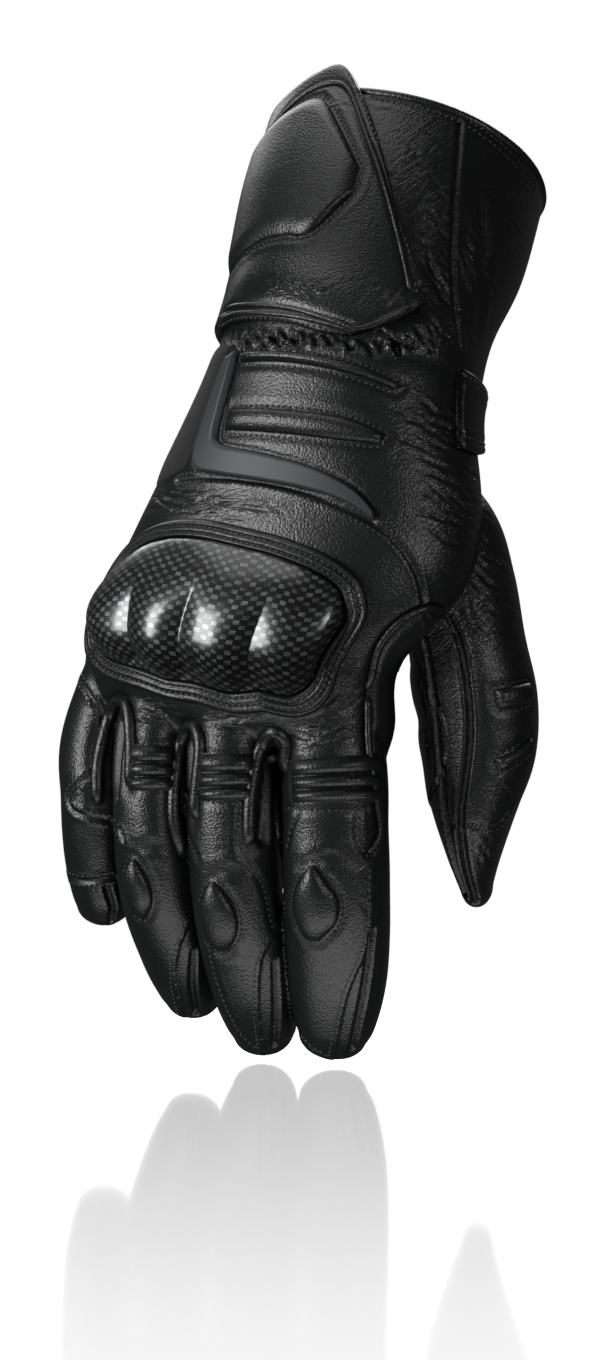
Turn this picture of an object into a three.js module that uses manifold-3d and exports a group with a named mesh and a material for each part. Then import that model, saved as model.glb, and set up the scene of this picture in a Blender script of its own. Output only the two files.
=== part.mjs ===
// A right-hand leather motorcycle glove with a long gauntlet cuff, filled as if worn and hanging
// fingers down. Millimetres. +Z is up, towards the forearm; -Y faces the viewer, with the back of the
// hand turned about 25 degrees towards -X; the thumb is on the +X side. The origin is the middle of
// the wrist, where the strap closes round it.
import * as THREE from "three";
import { mergeVertices } from "three/addons/utils/BufferGeometryUtils.js";
import Module from "manifold-3d";

const wasm = await Module();
wasm.setup();

const DEGREE = Math.PI / 180;

// Driving dimensions
const WALL = 2.4; // leather, foam and lining together
const GAP = 0.4; // clearance between two pieces
const HAND_FACE = -25; // how far the back of the hand turns from -Y, towards -X
const WRIST_ROW = 3; // the sleeve row where the cuff is sewn to the hand
const RIM_ROW = 0; // the cuff's mouth
const SLEEVE_SIDES = 28;
const DIGIT_SIDES = 14;
const LINING_SIDES = 0.75; // how many of a skin's sides its inner face keeps

// The sleeve: one skin from the cuff's mouth to the roots of the fingers, a row for each section.
// wide is the half width, back and palm the half depths, bow how far the two edges bend to the palm,
// square the corner fullness (2 is an ellipse), roll lowers the thumb side, lean tips the section's
// top away from the viewer. Angles are in degrees.
const SLEEVE = [
  { x: 21.4, y: 36.5, z: 80, wide: 44.6, back: 37, palm: 38, bow: 0, square: 2.1, roll: 11, lean: 26 },
  { x: 14, y: 24.5, z: 54, wide: 44.4, back: 36.5, palm: 37, bow: 0, square: 2.1, roll: 11, lean: 24 },
  { x: 6.3, y: 12.3, z: 29, wide: 41.2, back: 32, palm: 33, bow: 0, square: 2.1, roll: 9, lean: 21 },
  { x: 1.6, y: 4, z: 13, wide: 41.4, back: 29, palm: 30, bow: 1, square: 2.2, roll: 8, lean: 17 },
  { x: -2.2, y: 0, z: 0, wide: 43.4, back: 27, palm: 28, bow: 2, square: 2.2, roll: 8, lean: 12 },
  { x: -8.6, y: -4, z: -25, wide: 51.2, back: 23, palm: 25, bow: 4, square: 2.3, roll: 8, lean: 7 },
  { x: -18.5, y: -6, z: -49, wide: 54.5, back: 20, palm: 22, bow: 6, square: 2.4, roll: 8, lean: 2 },
  { x: -33, y: -4, z: -71, wide: 50.5, back: 20, palm: 17, bow: 8, square: 2.4, roll: 9, lean: -5 },
  { x: -35.6, y: -1, z: -89, wide: 52, back: 16, palm: 15, bow: 8, square: 2.4, roll: 9, lean: -8 },
  { x: -36, y: 1, z: -98, wide: 50.5, back: 12, palm: 12, bow: 7, square: 2.4, roll: 9, lean: -8 },
];
const KNUCKLE_CAP = 6; // the rounded end of the sleeve between the fingers

// The main dents and folds of the leather: middle, half lengths (rows along, turns round, in degrees)
// and depth in millimetres, negative where the leather bulges.
const SLEEVE_FOLDS = [
  { row: 1.3, turn: 34, rows: 0.9, turns: 13, deep: 1.8 },
  { row: 2.6, turn: 36, rows: 0.35, turns: 16, deep: -1.4 },
  { row: 3.1, turn: 80, rows: 0.2, turns: 50, deep: 1.2 },
  { row: 1.7, turn: 300, rows: 0.35, turns: 30, deep: 1.6 },
  { row: 2.6, turn: 262, rows: 0.3, turns: 45, deep: -1.4 },
  { row: 5.0, turn: 285, rows: 0.3, turns: 30, deep: 1.6 },
  { row: 6.6, turn: 262, rows: 0.4, turns: 30, deep: 1.5 },
  { row: 8.6, turn: 74, rows: 0.5, turns: 9, deep: 1.6 },
  { row: 8.6, turn: 98, rows: 0.5, turns: 9, deep: 1.6 },
  { row: 8.6, turn: 122, rows: 0.5, turns: 9, deep: 1.4 },
];
const DIGIT_FOLDS = [
  { row: 1.3, turn: 270, rows: 0.3, turns: 60, deep: 1.2 },
  { row: 2.9, turn: 270, rows: 0.3, turns: 60, deep: 1.3 },
  { row: 4.3, turn: 270, rows: 0.3, turns: 50, deep: 0.9 },
];

// The digits: a row for each section from the root, inside the hand, to the tip. face turns the back
// of the digit from -Y, positive towards +X; cap is the length of the rounded tip.
const DIGITS = {
  index_finger: {
    face: -6,
    cap: 7,
    rows: [
      { x: -6, y: -14, z: -68, wide: 11, back: 10, palm: 9 },
      { x: -2.9, y: -13, z: -105.5, wide: 15.6, back: 13.5, palm: 13.5 },
      { x: -2.3, y: -14, z: -126, wide: 15.6, back: 13.2, palm: 13.2 },
      { x: -2, y: -11, z: -147, wide: 16, back: 13.4, palm: 12.8 },
      { x: -1.6, y: -4, z: -169, wide: 15, back: 12, palm: 12 },
      { x: -2.2, y: 2, z: -183, wide: 12.8, back: 10.5, palm: 11 },
      { x: -2.9, y: 5.5, z: -189, wide: 10.5, back: 9, palm: 9 },
    ],
  },
  middle_finger: {
    face: -22,
    cap: 6.5,
    rows: [
      { x: -33.5, y: -5, z: -68, wide: 11, back: 10, palm: 9 },
      { x: -33.3, y: -5, z: -106, wide: 13.4, back: 13.2, palm: 13 },
      { x: -32.7, y: -6, z: -127, wide: 13.6, back: 13, palm: 13 },
      { x: -31.3, y: -3, z: -149.5, wide: 13.5, back: 13, palm: 12.5 },
      { x: -27.8, y: 5.5, z: -171, wide: 13, back: 12, palm: 12 },
      { x: -24.9, y: 13, z: -184, wide: 11.5, back: 10.5, palm: 10.5 },
      { x: -24, y: 16.5, z: -189.5, wide: 9.5, back: 9, palm: 9 },
    ],
  },
  ring_finger: {
    face: -36,
    cap: 6,
    rows: [
      { x: -54.5, y: 6, z: -66, wide: 10, back: 9, palm: 9 },
      { x: -56.7, y: 6, z: -103, wide: 12.3, back: 12.5, palm: 12.5 },
      { x: -56.6, y: 5, z: -124, wide: 12.6, back: 12.4, palm: 12.4 },
      { x: -54.9, y: 9.5, z: -146, wide: 12.8, back: 12.3, palm: 12 },
      { x: -50.5, y: 17.5, z: -164.5, wide: 11.8, back: 11, palm: 11 },
      { x: -47.1, y: 24, z: -175.5, wide: 10.5, back: 9.6, palm: 9.8 },
      { x: -45.9, y: 27, z: -180, wide: 9, back: 8.2, palm: 8.5 },
    ],
  },
  little_finger: {
    face: -50,
    cap: 6,
    rows: [
      { x: -66, y: 15, z: -66, wide: 7.5, back: 8, palm: 8 },
      { x: -75, y: 22.5, z: -99, wide: 11.3, back: 11.3, palm: 11.3 },
      { x: -75.6, y: 22, z: -118, wide: 11.2, back: 11, palm: 11 },
      { x: -75.4, y: 25, z: -134.5, wide: 11, back: 10.4, palm: 10.4 },
      { x: -74.4, y: 28, z: -147, wide: 10, back: 9.2, palm: 9.4 },
      { x: -74.2, y: 30, z: -152, wide: 8.5, back: 8, palm: 8 },
    ],
  },
  thumb: {
    face: 72,
    cap: 6,
    rows: [
      { x: 12, y: -6, z: -20, wide: 11, back: 13, palm: 11 },
      { x: 25.4, y: -1, z: -38, wide: 15, back: 20.5, palm: 15 },
      { x: 32, y: 3, z: -55, wide: 17, back: 20.5, palm: 16 },
      { x: 37, y: 3, z: -72.8, wide: 16.5, back: 18.5, palm: 18 },
      { x: 39.6, y: 3, z: -88, wide: 15.5, back: 19.3, palm: 18.3 },
      { x: 40.6, y: 4, z: -103, wide: 15, back: 18, palm: 17.3 },
      { x: 39.7, y: 5, z: -118, wide: 14, back: 14, palm: 13.5 },
      { x: 39.9, y: 7, z: -133.5, wide: 12, back: 8.7, palm: 8.2 },
      { x: 40.9, y: 9, z: -145, wide: 8, back: 4.6, palm: 4.4 },
    ],
  },
};

// One column of a table at a fractional row, by a Catmull-Rom curve through the rows.
function column(table, name, s) {
  const last = table.length - 1;
  const i = Math.min(Math.max(Math.floor(s), 0), last - 1);
  const t = s - i;
  const at = (k) => {
    if (k < 0) return 2 * table[0][name] - table[1][name];
    if (k > last) return 2 * table[last][name] - table[last - 1][name];
    return table[k][name];
  };
  const [a, b, c, d] = [at(i - 1), at(i), at(i + 1), at(i + 2)];
  return b + 0.5 * t * (c - a + t * (2 * a - 5 * b + 4 * c - d + t * (3 * (b - c) + d - a)));
}

// The three axes of a section: across (to the thumb side), deep (to the palm) and up the arm.
function sleeveAxes(s) {
  const turned = new THREE.Matrix4().makeRotationZ(HAND_FACE * DEGREE);
  turned.multiply(new THREE.Matrix4().makeRotationY(column(SLEEVE, "roll", s) * DEGREE));
  turned.multiply(new THREE.Matrix4().makeRotationX(-column(SLEEVE, "lean", s) * DEGREE));
  const across = new THREE.Vector3();
  const deep = new THREE.Vector3();
  const up = new THREE.Vector3();
  turned.extractBasis(across, deep, up);
  return { across, deep, up };
}

function digitAxes(digit, s) {
  const centre = (k) => new THREE.Vector3(...["x", "y", "z"].map((n) => column(digit.rows, n, k)));
  const up = centre(s - 0.1).sub(centre(s + 0.1)).normalize();
  const face = digit.face * DEGREE;
  const across = new THREE.Vector3(Math.cos(face), Math.sin(face), 0);
  across.addScaledVector(up, -across.dot(up)).normalize();
  return { across, deep: new THREE.Vector3().crossVectors(up, across), up };
}

// How far the folds push the leather in at a place on a skin.
function foldDepth(folds, s, turn) {
  return folds.reduce((sum, fold) => {
    const round = (((turn - fold.turn + 180) % 360) + 360) % 360 - 180;
    return sum + fold.deep * Math.exp(-(((s - fold.row) / fold.rows) ** 2) - (round / fold.turns) ** 2);
  }, 0);
}

// A point of a skin. turn is 0 at the thumb side, 90 on the back, 180 at the little-finger side and
// 270 on the palm; grow moves it outwards from the leather's outer face.
function skinPoint(skin, s, turn, grow = 0) {
  const { rows } = skin;
  const { across, deep } = skin.axes(s);
  const c = Math.cos(turn * DEGREE);
  const d = Math.sin(turn * DEGREE);
  const power = 2 / (rows[0].square ? column(rows, "square", s) : 2.2);
  const out = grow + (skin.lift ?? 0) - foldDepth(skin.folds, s, turn);
  const wide = column(rows, "wide", s) + out;
  const depth = column(rows, d > 0 ? "back" : "palm", s) + out;
  const share = Math.sign(c) * Math.abs(c) ** power;
  const bow = rows[0].bow === undefined ? 0 : column(rows, "bow", s);
  return new THREE.Vector3(column(rows, "x", s), column(rows, "y", s), column(rows, "z", s))
    .addScaledVector(across, share * wide)
    .addScaledVector(deep, bow * share * share - Math.sign(d) * Math.abs(d) ** power * depth);
}

const sleeve = { rows: SLEEVE, folds: SLEEVE_FOLDS, axes: sleeveAxes, sides: SLEEVE_SIDES };
const digits = Object.fromEntries(
  Object.entries(DIGITS).map(([name, digit]) => [
    name,
    { ...digit, folds: DIGIT_FOLDS, axes: (s) => digitAxes(digit, s), sides: DIGIT_SIDES },
  ]),
);

// Collects points and faces into a closed mesh.
function closedGeometry(points, faces) {
  const geometry = new THREE.BufferGeometry();
  geometry.setAttribute("position", new THREE.Float32BufferAttribute(points.flatMap((p) => p.toArray()), 3));
  geometry.setIndex(faces);
  return geometry;
}

// Joins rings of equal size, first to last, and closes both ends with a fan to their middle points.
function ringsGeometry(rings, startTip, endTip) {
  const n = rings[0].length;
  const points = [...rings.flat(), startTip, endTip];
  const [start, end] = [rings.length * n, rings.length * n + 1];
  const faces = [];
  for (let k = 0; k < n; k++) {
    const next = (k + 1) % n;
    faces.push(start, next, k);
    faces.push(end, (rings.length - 1) * n + k, (rings.length - 1) * n + next);
    for (let i = 0; i + 1 < rings.length; i++) {
      const [a, b, c, d] = [i * n + k, i * n + next, (i + 1) * n + next, (i + 1) * n + k];
      faces.push(a, c, d, a, b, c);
    }
  }
  return closedGeometry(points, faces);
}

// A whole closed body of a skin from one row to another, with a rounded end of the given length.
function skinBody(skin, { from, to, step, grow = 0, cap = 0 }) {
  const stops = [];
  const count = Math.round((to - from) / step);
  for (let i = 0; i <= count; i++) stops.push(from + ((to - from) * i) / count);
  const turns = Array.from({ length: skin.sides }, (_, k) => (360 * k) / skin.sides);
  const rings = stops.map((s) => turns.map((turn) => skinPoint(skin, s, turn, grow)));
  const middle = (ring) => ring.reduce((sum, p) => sum.add(p), new THREE.Vector3()).divideScalar(ring.length);
  const foot = rings[rings.length - 1];
  const centre = middle(foot);
  const down = skin.axes(to).up.clone().negate();
  for (const angle of cap > 0 ? [35, 65] : []) {
    const shrink = Math.cos(angle * DEGREE);
    const drop = cap * Math.sin(angle * DEGREE);
    rings.push(foot.map((p) => p.clone().sub(centre).multiplyScalar(shrink).add(centre).addScaledVector(down, drop)));
  }
  return ringsGeometry(rings, middle(rings[0]), centre.clone().addScaledVector(down, cap));
}

// The largest of a solid's separate bodies: what a cut leaves on its far side is dropped.
function largestBody(solid) {
  return solid.decompose().reduce((best, body) => (body.volume() > best.volume() ? body : best));
}

// Turns a mesh into a solid that can be cut, and back.
function solidOf(geometry) {
  const plain = geometry.index ? geometry.clone() : geometry;
  plain.deleteAttribute("normal");
  plain.deleteAttribute("uv");
  const merged = mergeVertices(plain, 1e-3);
  const solid = new wasm.Manifold(
    new wasm.Mesh({
      numProp: 3,
      vertProperties: merged.attributes.position.array,
      triVerts: new Uint32Array(merged.index.array),
    }),
  );
  return solid;
}

function geometryOf(solid) {
  const mesh = solid.getMesh();
  const geometry = new THREE.BufferGeometry();
  geometry.setAttribute("position", new THREE.BufferAttribute(new Float32Array(mesh.vertProperties), 3));
  geometry.setIndex(new THREE.BufferAttribute(new Uint32Array(mesh.triVerts), 1));
  geometry.computeVertexNormals();
  return geometry;
}

// A number from a low to a high value that rounds off within the given share of both ends of 0 to 1.
function rounded(share, edge) {
  const near = Math.min(share, 1 - share) / edge;
  return near >= 1 ? 1 : Math.sqrt(1 - (1 - Math.max(near, 0)) ** 2);
}

// The ruled lines of an overlay: each row of its table is a line over the skin, from (row, turn) to
// (endRow, endTurn), and the lines between them follow a smooth curve.
function ruledLine(table, u) {
  return {
    at: (v) => ({
      s: THREE.MathUtils.lerp(column(table, "row", u), column(table, "endRow", u), v),
      turn: THREE.MathUtils.lerp(column(table, "turn", u), column(table, "endTurn", u), v),
    }),
  };
}

// A piece laid on a skin: its foot clears the skin by GAP and its top stands height(u, v) above the
// skin, u counting the table's rows and v going from 0 to 1 along each ruled line.
function overlayBody(skin, { table, steps, spans, height, loop = false }) {
  const rows = loop ? [...table, table[0]] : table;
  const count = (rows.length - 1) * steps;
  const rings = [];
  for (let i = 0; i < (loop ? count : count + 1); i++) {
    const u = i / steps;
    const line = ruledLine(rows, u);
    const place = (v, grow) => skinPoint(skin, line.at(v).s, line.at(v).turn, grow);
    const top = spans.map((v) => place(v, height(u, v)));
    const foot = spans.map((v) => place(v, GAP));
    rings.push([...top, ...foot.reverse()]);
  }
  return slabGeometry(rings, spans.length, loop);
}

// Joins sections that each run along the top and back along the foot; an open row of them is closed
// at both ends, a loop runs on from the last to the first.
function slabGeometry(rings, across, loop) {
  const n = 2 * across;
  const faces = [];
  const quad = (a, b, c, d) => faces.push(a, b, c, a, c, d);
  const joins = loop ? rings.length : rings.length - 1;
  for (let i = 0; i < joins; i++) {
    const j = (i + 1) % rings.length;
    for (let k = 0; k < n; k++) {
      const next = (k + 1) % n;
      quad(i * n + k, i * n + next, j * n + next, j * n + k);
    }
  }
  if (!loop) {
    const end = (rings.length - 1) * n;
    for (let k = 0; k + 1 < across; k++) {
      quad(k + 1, k, n - 1 - k, n - 2 - k);
      quad(end + k, end + k + 1, end + n - 2 - k, end + n - 1 - k);
    }
  }
  return facingOut(closedGeometry(rings.flat(), faces));
}

// Turns all faces round if they look inwards.
function facingOut(geometry) {
  const place = geometry.getAttribute("position");
  const index = geometry.getIndex();
  const corner = (k) => new THREE.Vector3().fromBufferAttribute(place, index.getX(k));
  let volume = 0;
  for (let k = 0; k < index.count; k += 3) volume += corner(k).dot(corner(k + 1).cross(corner(k + 2)));
  if (volume < 0) {
    for (let k = 0; k < index.count; k += 3) {
      const second = index.getX(k + 1);
      index.setX(k + 1, index.getX(k + 2));
      index.setX(k + 2, second);
    }
  }
  return geometry;
}

// A cord laid along a path over a skin: half a circle's width stands above it.
function cordBody(skin, { path, steps, radius, sides = 6 }) {
  const count = (path.length - 1) * steps;
  const at = (u, grow) => skinPoint(skin, column(path, "row", u), column(path, "turn", u), grow);
  const rings = [];
  for (let i = 0; i <= count; i++) {
    const u = i / steps;
    const middle = at(u, GAP + radius);
    const along = at(u + 0.05, GAP + radius).sub(at(u - 0.05, GAP + radius)).normalize();
    const out = at(u, GAP + radius + 1).sub(middle);
    out.addScaledVector(along, -out.dot(along)).normalize();
    const side = new THREE.Vector3().crossVectors(along, out);
    rings.push(
      Array.from({ length: sides }, (_, k) => {
        const angle = (2 * Math.PI * (k + 0.5)) / sides;
        return middle
          .clone()
          .addScaledVector(side, radius * Math.cos(angle))
          .addScaledVector(out, radius * Math.sin(angle));
      }),
    );
  }
  const middle = (ring) => ring.reduce((sum, p) => sum.add(p), new THREE.Vector3()).divideScalar(ring.length);
  return facingOut(ringsGeometry(rings, middle(rings[0]), middle(rings[rings.length - 1])));
}

// Moves an outline on a skin outwards by a distance in millimetres. The outline is a loop of places
// {row, turn}, listed the way that keeps its outside on the left as the skin is looked at.
function offsetOutline(skin, outline, distance) {
  const n = outline.length;
  return outline.map((place, i) => {
    const [before, after] = [outline[(i + n - 1) % n], outline[(i + 1) % n]];
    const here = skinPoint(skin, place.row, place.turn);
    const perRow = skinPoint(skin, place.row + 0.1, place.turn).distanceTo(here) / 0.1;
    const perTurn = skinPoint(skin, place.row, place.turn + 1).distanceTo(here);
    const down = (after.row - before.row) * perRow;
    const round = (after.turn - before.turn) * perTurn;
    const length = Math.hypot(down, round);
    return {
      row: place.row - ((round / length) * distance) / perRow,
      turn: place.turn + ((down / length) * distance) / perTurn,
    };
  });
}

const LEATHER = new THREE.MeshStandardMaterial({ color: 0x1a1b1c, roughness: 0.5, metalness: 0 });
const CARBON = new THREE.MeshStandardMaterial({ color: 0x2b2d2f, roughness: 0.15, metalness: 0.1 });
const RUBBER = new THREE.MeshStandardMaterial({ color: 0x3a3c3e, roughness: 0.65, metalness: 0 });

const glove = new THREE.Group();
function addPiece(name, geometry, material = LEATHER) {
  geometry.computeVertexNormals();
  const mesh = new THREE.Mesh(geometry, material);
  mesh.name = name;
  glove.add(mesh);
  return mesh;
}

// Digits: hollow, closed at the tip, open where they meet the inside of the hand.
const last = SLEEVE.length - 1;
const SMOOTHING = 0.22; // faces merged where the leather stays within this of its shape
const handInside = solidOf(
  skinBody(sleeve, { from: WRIST_ROW - 0.5, to: last, step: 0.75, grow: -WALL, cap: KNUCKLE_CAP - WALL }),
);
const lining = (skin) => ({ ...skin, sides: Math.round(LINING_SIDES * skin.sides) });
const digitBodies = [];
for (const [name, skin] of Object.entries(digits)) {
  const end = skin.rows.length - 1;
  const outer = solidOf(skinBody(skin, { from: 0, to: end, step: 0.5, cap: skin.cap }));
  const hollow = skinBody(lining(skin), { from: -0.3, to: end, step: 1, grow: -WALL, cap: skin.cap - WALL });
  digitBodies.push(solidOf(skinBody(skin, { from: 0, to: 3, step: 0.5, cap: skin.cap, grow: 2 * GAP })));
  const digit = largestBody(outer.subtract(solidOf(hollow)).subtract(handInside));
  addPiece(name, geometryOf(digit.simplify(SMOOTHING)));
}

// Hand: open at the wrist and at each digit
const handOuter = solidOf(skinBody(sleeve, { from: WRIST_ROW + 0.02, to: last, step: 0.5, cap: KNUCKLE_CAP }));
const hand = digitBodies.reduce((left, body) => left.subtract(body), handOuter.subtract(handInside));
addPiece("hand_shell", geometryOf(largestBody(hand).simplify(SMOOTHING)));

// Cuff: a tube open at both ends, its mouth closed by a folded edge that rolls over the leather
const cuffOuter = solidOf(skinBody(sleeve, { from: RIM_ROW, to: WRIST_ROW - 0.02, step: 0.5 }));
const cuffInner = solidOf(skinBody(sleeve, { from: -0.3, to: WRIST_ROW + 0.3, step: 0.6, grow: -WALL }));
addPiece("cuff_shell", geometryOf(cuffOuter.subtract(cuffInner).simplify(SMOOTHING)));

const BINDING_ROUND = [
  { rise: 0.015, grow: 0 },
  { rise: 0.06, grow: 0.1 },
  { rise: 0.1, grow: -WALL * 0.3 },
  { rise: 0.1, grow: -WALL * 0.8 },
  { rise: 0.06, grow: -WALL - 0.5 },
  { rise: 0.015, grow: -WALL - 0.3 },
];
const bindingRings = Array.from({ length: SLEEVE_SIDES }, (_, k) =>
  BINDING_ROUND.map(({ rise, grow }) => skinPoint(sleeve, RIM_ROW - rise, (360 * k) / SLEEVE_SIDES, grow)),
);
addPiece("cuff_binding", slabGeometry(bindingRings, BINDING_ROUND.length / 2, true));

// The closing flap, from its free edge on the back round the little-finger side to the palm
const FLAP = [
  { row: 2.1, turn: 47, endRow: 2.25, endTurn: 47 },
  { row: 1.85, turn: 54, endRow: 2.55, endTurn: 54 },
  { row: 1.55, turn: 62, endRow: 2.78, endTurn: 62 },
  { row: 1.25, turn: 70, endRow: 2.97, endTurn: 70 },
  { row: 0.85, turn: 78, endRow: 3.08, endTurn: 78 },
  { row: 0.4, turn: 87, endRow: 3.08, endTurn: 87 },
  { row: 0, turn: 96, endRow: 3.0, endTurn: 96 },
  { row: -0.28, turn: 106, endRow: 2.95, endTurn: 106 },
  { row: -0.22, turn: 118, endRow: 2.92, endTurn: 118 },
  { row: -0.1, turn: 132, endRow: 2.9, endTurn: 132 },
  { row: -0.04, turn: 148, endRow: 2.88, endTurn: 148 },
  { row: -0.02, turn: 164, endRow: 2.86, endTurn: 164 },
  { row: -0.02, turn: 180, endRow: 2.88, endTurn: 180 },
  { row: -0.02, turn: 198, endRow: 2.9, endTurn: 198 },
  { row: 0, turn: 216, endRow: 2.9, endTurn: 216 },
  { row: 0.02, turn: 232, endRow: 2.92, endTurn: 232 },
];
const FLAP_HIGH = 3; // leather over foam
addPiece(
  "cuff_flap",
  overlayBody(sleeve, {
    table: FLAP,
    steps: 2,
    spans: [0, 0.08, 0.3, 0.52, 0.74, 0.93, 1],
    height: (u, v) => FLAP_HIGH - 1.2 + 1.2 * rounded(v, 0.1),
  }),
);

// The welt along the flap's free edge, a cord's width outside it
const FLAP_EDGE = [
  { row: -0.12, turn: 97 },
  { row: 0.1, turn: 91 },
  { row: 0.5, turn: 81.5 },
  { row: 0.92, turn: 72.5 },
  { row: 1.32, turn: 64.5 },
  { row: 1.68, turn: 55.5 },
  { row: 2.08, turn: 44 },
  { row: 2.3, turn: 43 },
];
addPiece("flap_piping", cordBody(sleeve, { path: FLAP_EDGE, steps: 2, radius: 1.6 }));

// The raised six-sided field on the flap, on a skin that stands as high as the flap
const flapFace = { ...sleeve, lift: FLAP_HIGH };
const FLAP_PAD = [
  { row: 0.98, turn: 86, endRow: 1.22, endTurn: 86 },
  { row: 0.5, turn: 98, endRow: 1.68, endTurn: 98 },
  { row: 0.16, turn: 110, endRow: 1.72, endTurn: 110 },
  { row: 0.22, turn: 124, endRow: 1.75, endTurn: 124 },
  { row: 0.38, turn: 140, endRow: 1.86, endTurn: 140 },
  { row: 0.54, turn: 154, endRow: 1.96, endTurn: 154 },
];
addPiece(
  "flap_pad",
  overlayBody(flapFace, {
    table: FLAP_PAD,
    steps: 2,
    spans: [0, 0.12, 0.5, 0.88, 1],
    height: (u, v) => 1 + 1.2 * rounded(v, 0.2) * rounded(u / (FLAP_PAD.length - 1), 0.15),
  }),
);

// The strap round the palm side of the wrist, in falling turns from the thumb side
const STRAP = [
  { row: 3.05, turn: 17, endRow: 4.4, endTurn: 17 },
  { row: 3.02, turn: 2, endRow: 4.38, endTurn: 2 },
  { row: 3.0, turn: -14, endRow: 4.3, endTurn: -14 },
  { row: 3.02, turn: -34, endRow: 4.25, endTurn: -34 },
  { row: 3.05, turn: -56, endRow: 4.2, endTurn: -56 },
  { row: 3.08, turn: -78, endRow: 4.15, endTurn: -78 },
  { row: 3.12, turn: -100, endRow: 4.1, endTurn: -100 },
  { row: 3.16, turn: -122, endRow: 4.05, endTurn: -122 },
  { row: 3.25, turn: -140, endRow: 3.95, endTurn: -140 },
  { row: 3.45, turn: -148, endRow: 3.8, endTurn: -148 },
];
const STRAP_HIGH = 2.6;
addPiece(
  "wrist_strap",
  overlayBody(sleeve, {
    table: STRAP,
    steps: 2,
    spans: [0, 0.12, 0.5, 0.88, 1],
    height: (u, v) => STRAP_HIGH - 1 + rounded(v, 0.15),
  }),
);

// Padded bars across the back of the wrist, and the moulded blade that frames them
const RIB_UPPER = [
  { row: 3.85, turn: 49, endRow: 3.93, endTurn: 52 },
  { row: 3.66, turn: 70, endRow: 3.82, endTurn: 71 },
  { row: 3.55, turn: 95, endRow: 3.75, endTurn: 95 },
  { row: 3.58, turn: 121, endRow: 3.77, endTurn: 120 },
];
const RIB_LOWER = [
  { row: 4.46, turn: 56, endRow: 4.56, endTurn: 59 },
  { row: 4.36, turn: 73, endRow: 4.58, endTurn: 73 },
  { row: 4.35, turn: 94, endRow: 4.59, endTurn: 94 },
  { row: 4.38, turn: 117, endRow: 4.6, endTurn: 116 },
];
for (const [name, table] of [["wrist_rib_upper", RIB_UPPER], ["wrist_rib_lower", RIB_LOWER]]) {
  const across = table.length - 1;
  const height = (u, v) => 0.9 + 1.5 * rounded(v, 0.5) * rounded(u / across, 0.12);
  addPiece(name, overlayBody(sleeve, { table, steps: 3, spans: [0, 0.2, 0.8, 1], height }));
}

const TRIM = [
  { row: 3.6, turn: 129, endRow: 3.5, endTurn: 124 },
  { row: 4.0, turn: 131, endRow: 3.95, endTurn: 123 },
  { row: 4.5, turn: 130, endRow: 4.4, endTurn: 121 },
  { row: 4.85, turn: 128, endRow: 4.65, endTurn: 119 },
  { row: 5.02, turn: 123, endRow: 4.74, endTurn: 115 },
  { row: 5.06, turn: 112, endRow: 4.77, endTurn: 108 },
  { row: 5.08, turn: 100, endRow: 4.79, endTurn: 99 },
  { row: 5.1, turn: 88, endRow: 4.84, endTurn: 88 },
  { row: 5.14, turn: 77, endRow: 4.93, endTurn: 77 },
  { row: 5.22, turn: 67, endRow: 5.07, endTurn: 67 },
  { row: 5.34, turn: 59, endRow: 5.28, endTurn: 59 },
];
addPiece(
  "wrist_trim",
  overlayBody(sleeve, {
    table: TRIM,
    steps: 1,
    spans: [0, 0.1, 0.75, 1],
    height: (u, v) => 0.9 + (v < 0.75 ? 1.5 * rounded(v, 0.1) : 0.7),
  }),
  RUBBER,
);

// Knuckle guard: four domes side by side, from the thumb side to the little-finger side
const GUARD = [
  { row: 6.45, turn: 54, endRow: 6.75, endTurn: 53 },
  { row: 6.15, turn: 63, endRow: 7.2, endTurn: 53 },
  { row: 6.0, turn: 73, endRow: 7.45, endTurn: 61 },
  { row: 5.92, turn: 82, endRow: 7.42, endTurn: 71 },
  { row: 5.86, turn: 90, endRow: 7.52, endTurn: 81 },
  { row: 5.82, turn: 99, endRow: 7.46, endTurn: 90 },
  { row: 5.8, turn: 109, endRow: 7.48, endTurn: 97 },
  { row: 5.84, turn: 121, endRow: 7.42, endTurn: 106 },
  { row: 6.0, turn: 135, endRow: 7.4, endTurn: 116 },
  { row: 6.35, turn: 147, endRow: 7.36, endTurn: 126 },
  { row: 6.85, turn: 147, endRow: 7.2, endTurn: 138 },
];
const DOMES = [
  { from: 0, to: 3.2 },
  { from: 3.2, to: 5.1 },
  { from: 5.1, to: 7.1 },
  { from: 7.1, to: 10 },
];
const GUARD_STEPS = 2;
const GUARD_RIM = 2; // height of the guard's edge
const GUARD_HIGH = 6.5; // how far the domes stand above that
const GROOVE = 2.6; // depth of the grooves between them
function guardHeight(u, v) {
  const dome = DOMES.find(({ to }) => u <= to);
  const bump = Math.sin((Math.PI * (u - dome.from)) / (dome.to - dome.from));
  const groove = GROOVE * (1 - Math.abs(bump) ** 0.7) * THREE.MathUtils.smoothstep(v, 0.2, 0.6);
  const body = Math.sin(Math.PI * v) ** 0.6 * rounded(u / (GUARD.length - 1), 0.22);
  return GUARD_RIM + Math.max(GUARD_HIGH * body - groove, 0);
}
addPiece(
  "knuckle_guard",
  overlayBody(sleeve, {
    table: GUARD,
    steps: GUARD_STEPS,
    spans: [0, 0.06, 0.2, 0.4, 0.6, 0.78, 0.93, 1],
    height: guardHeight,
  }),
  CARBON,
);

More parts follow.
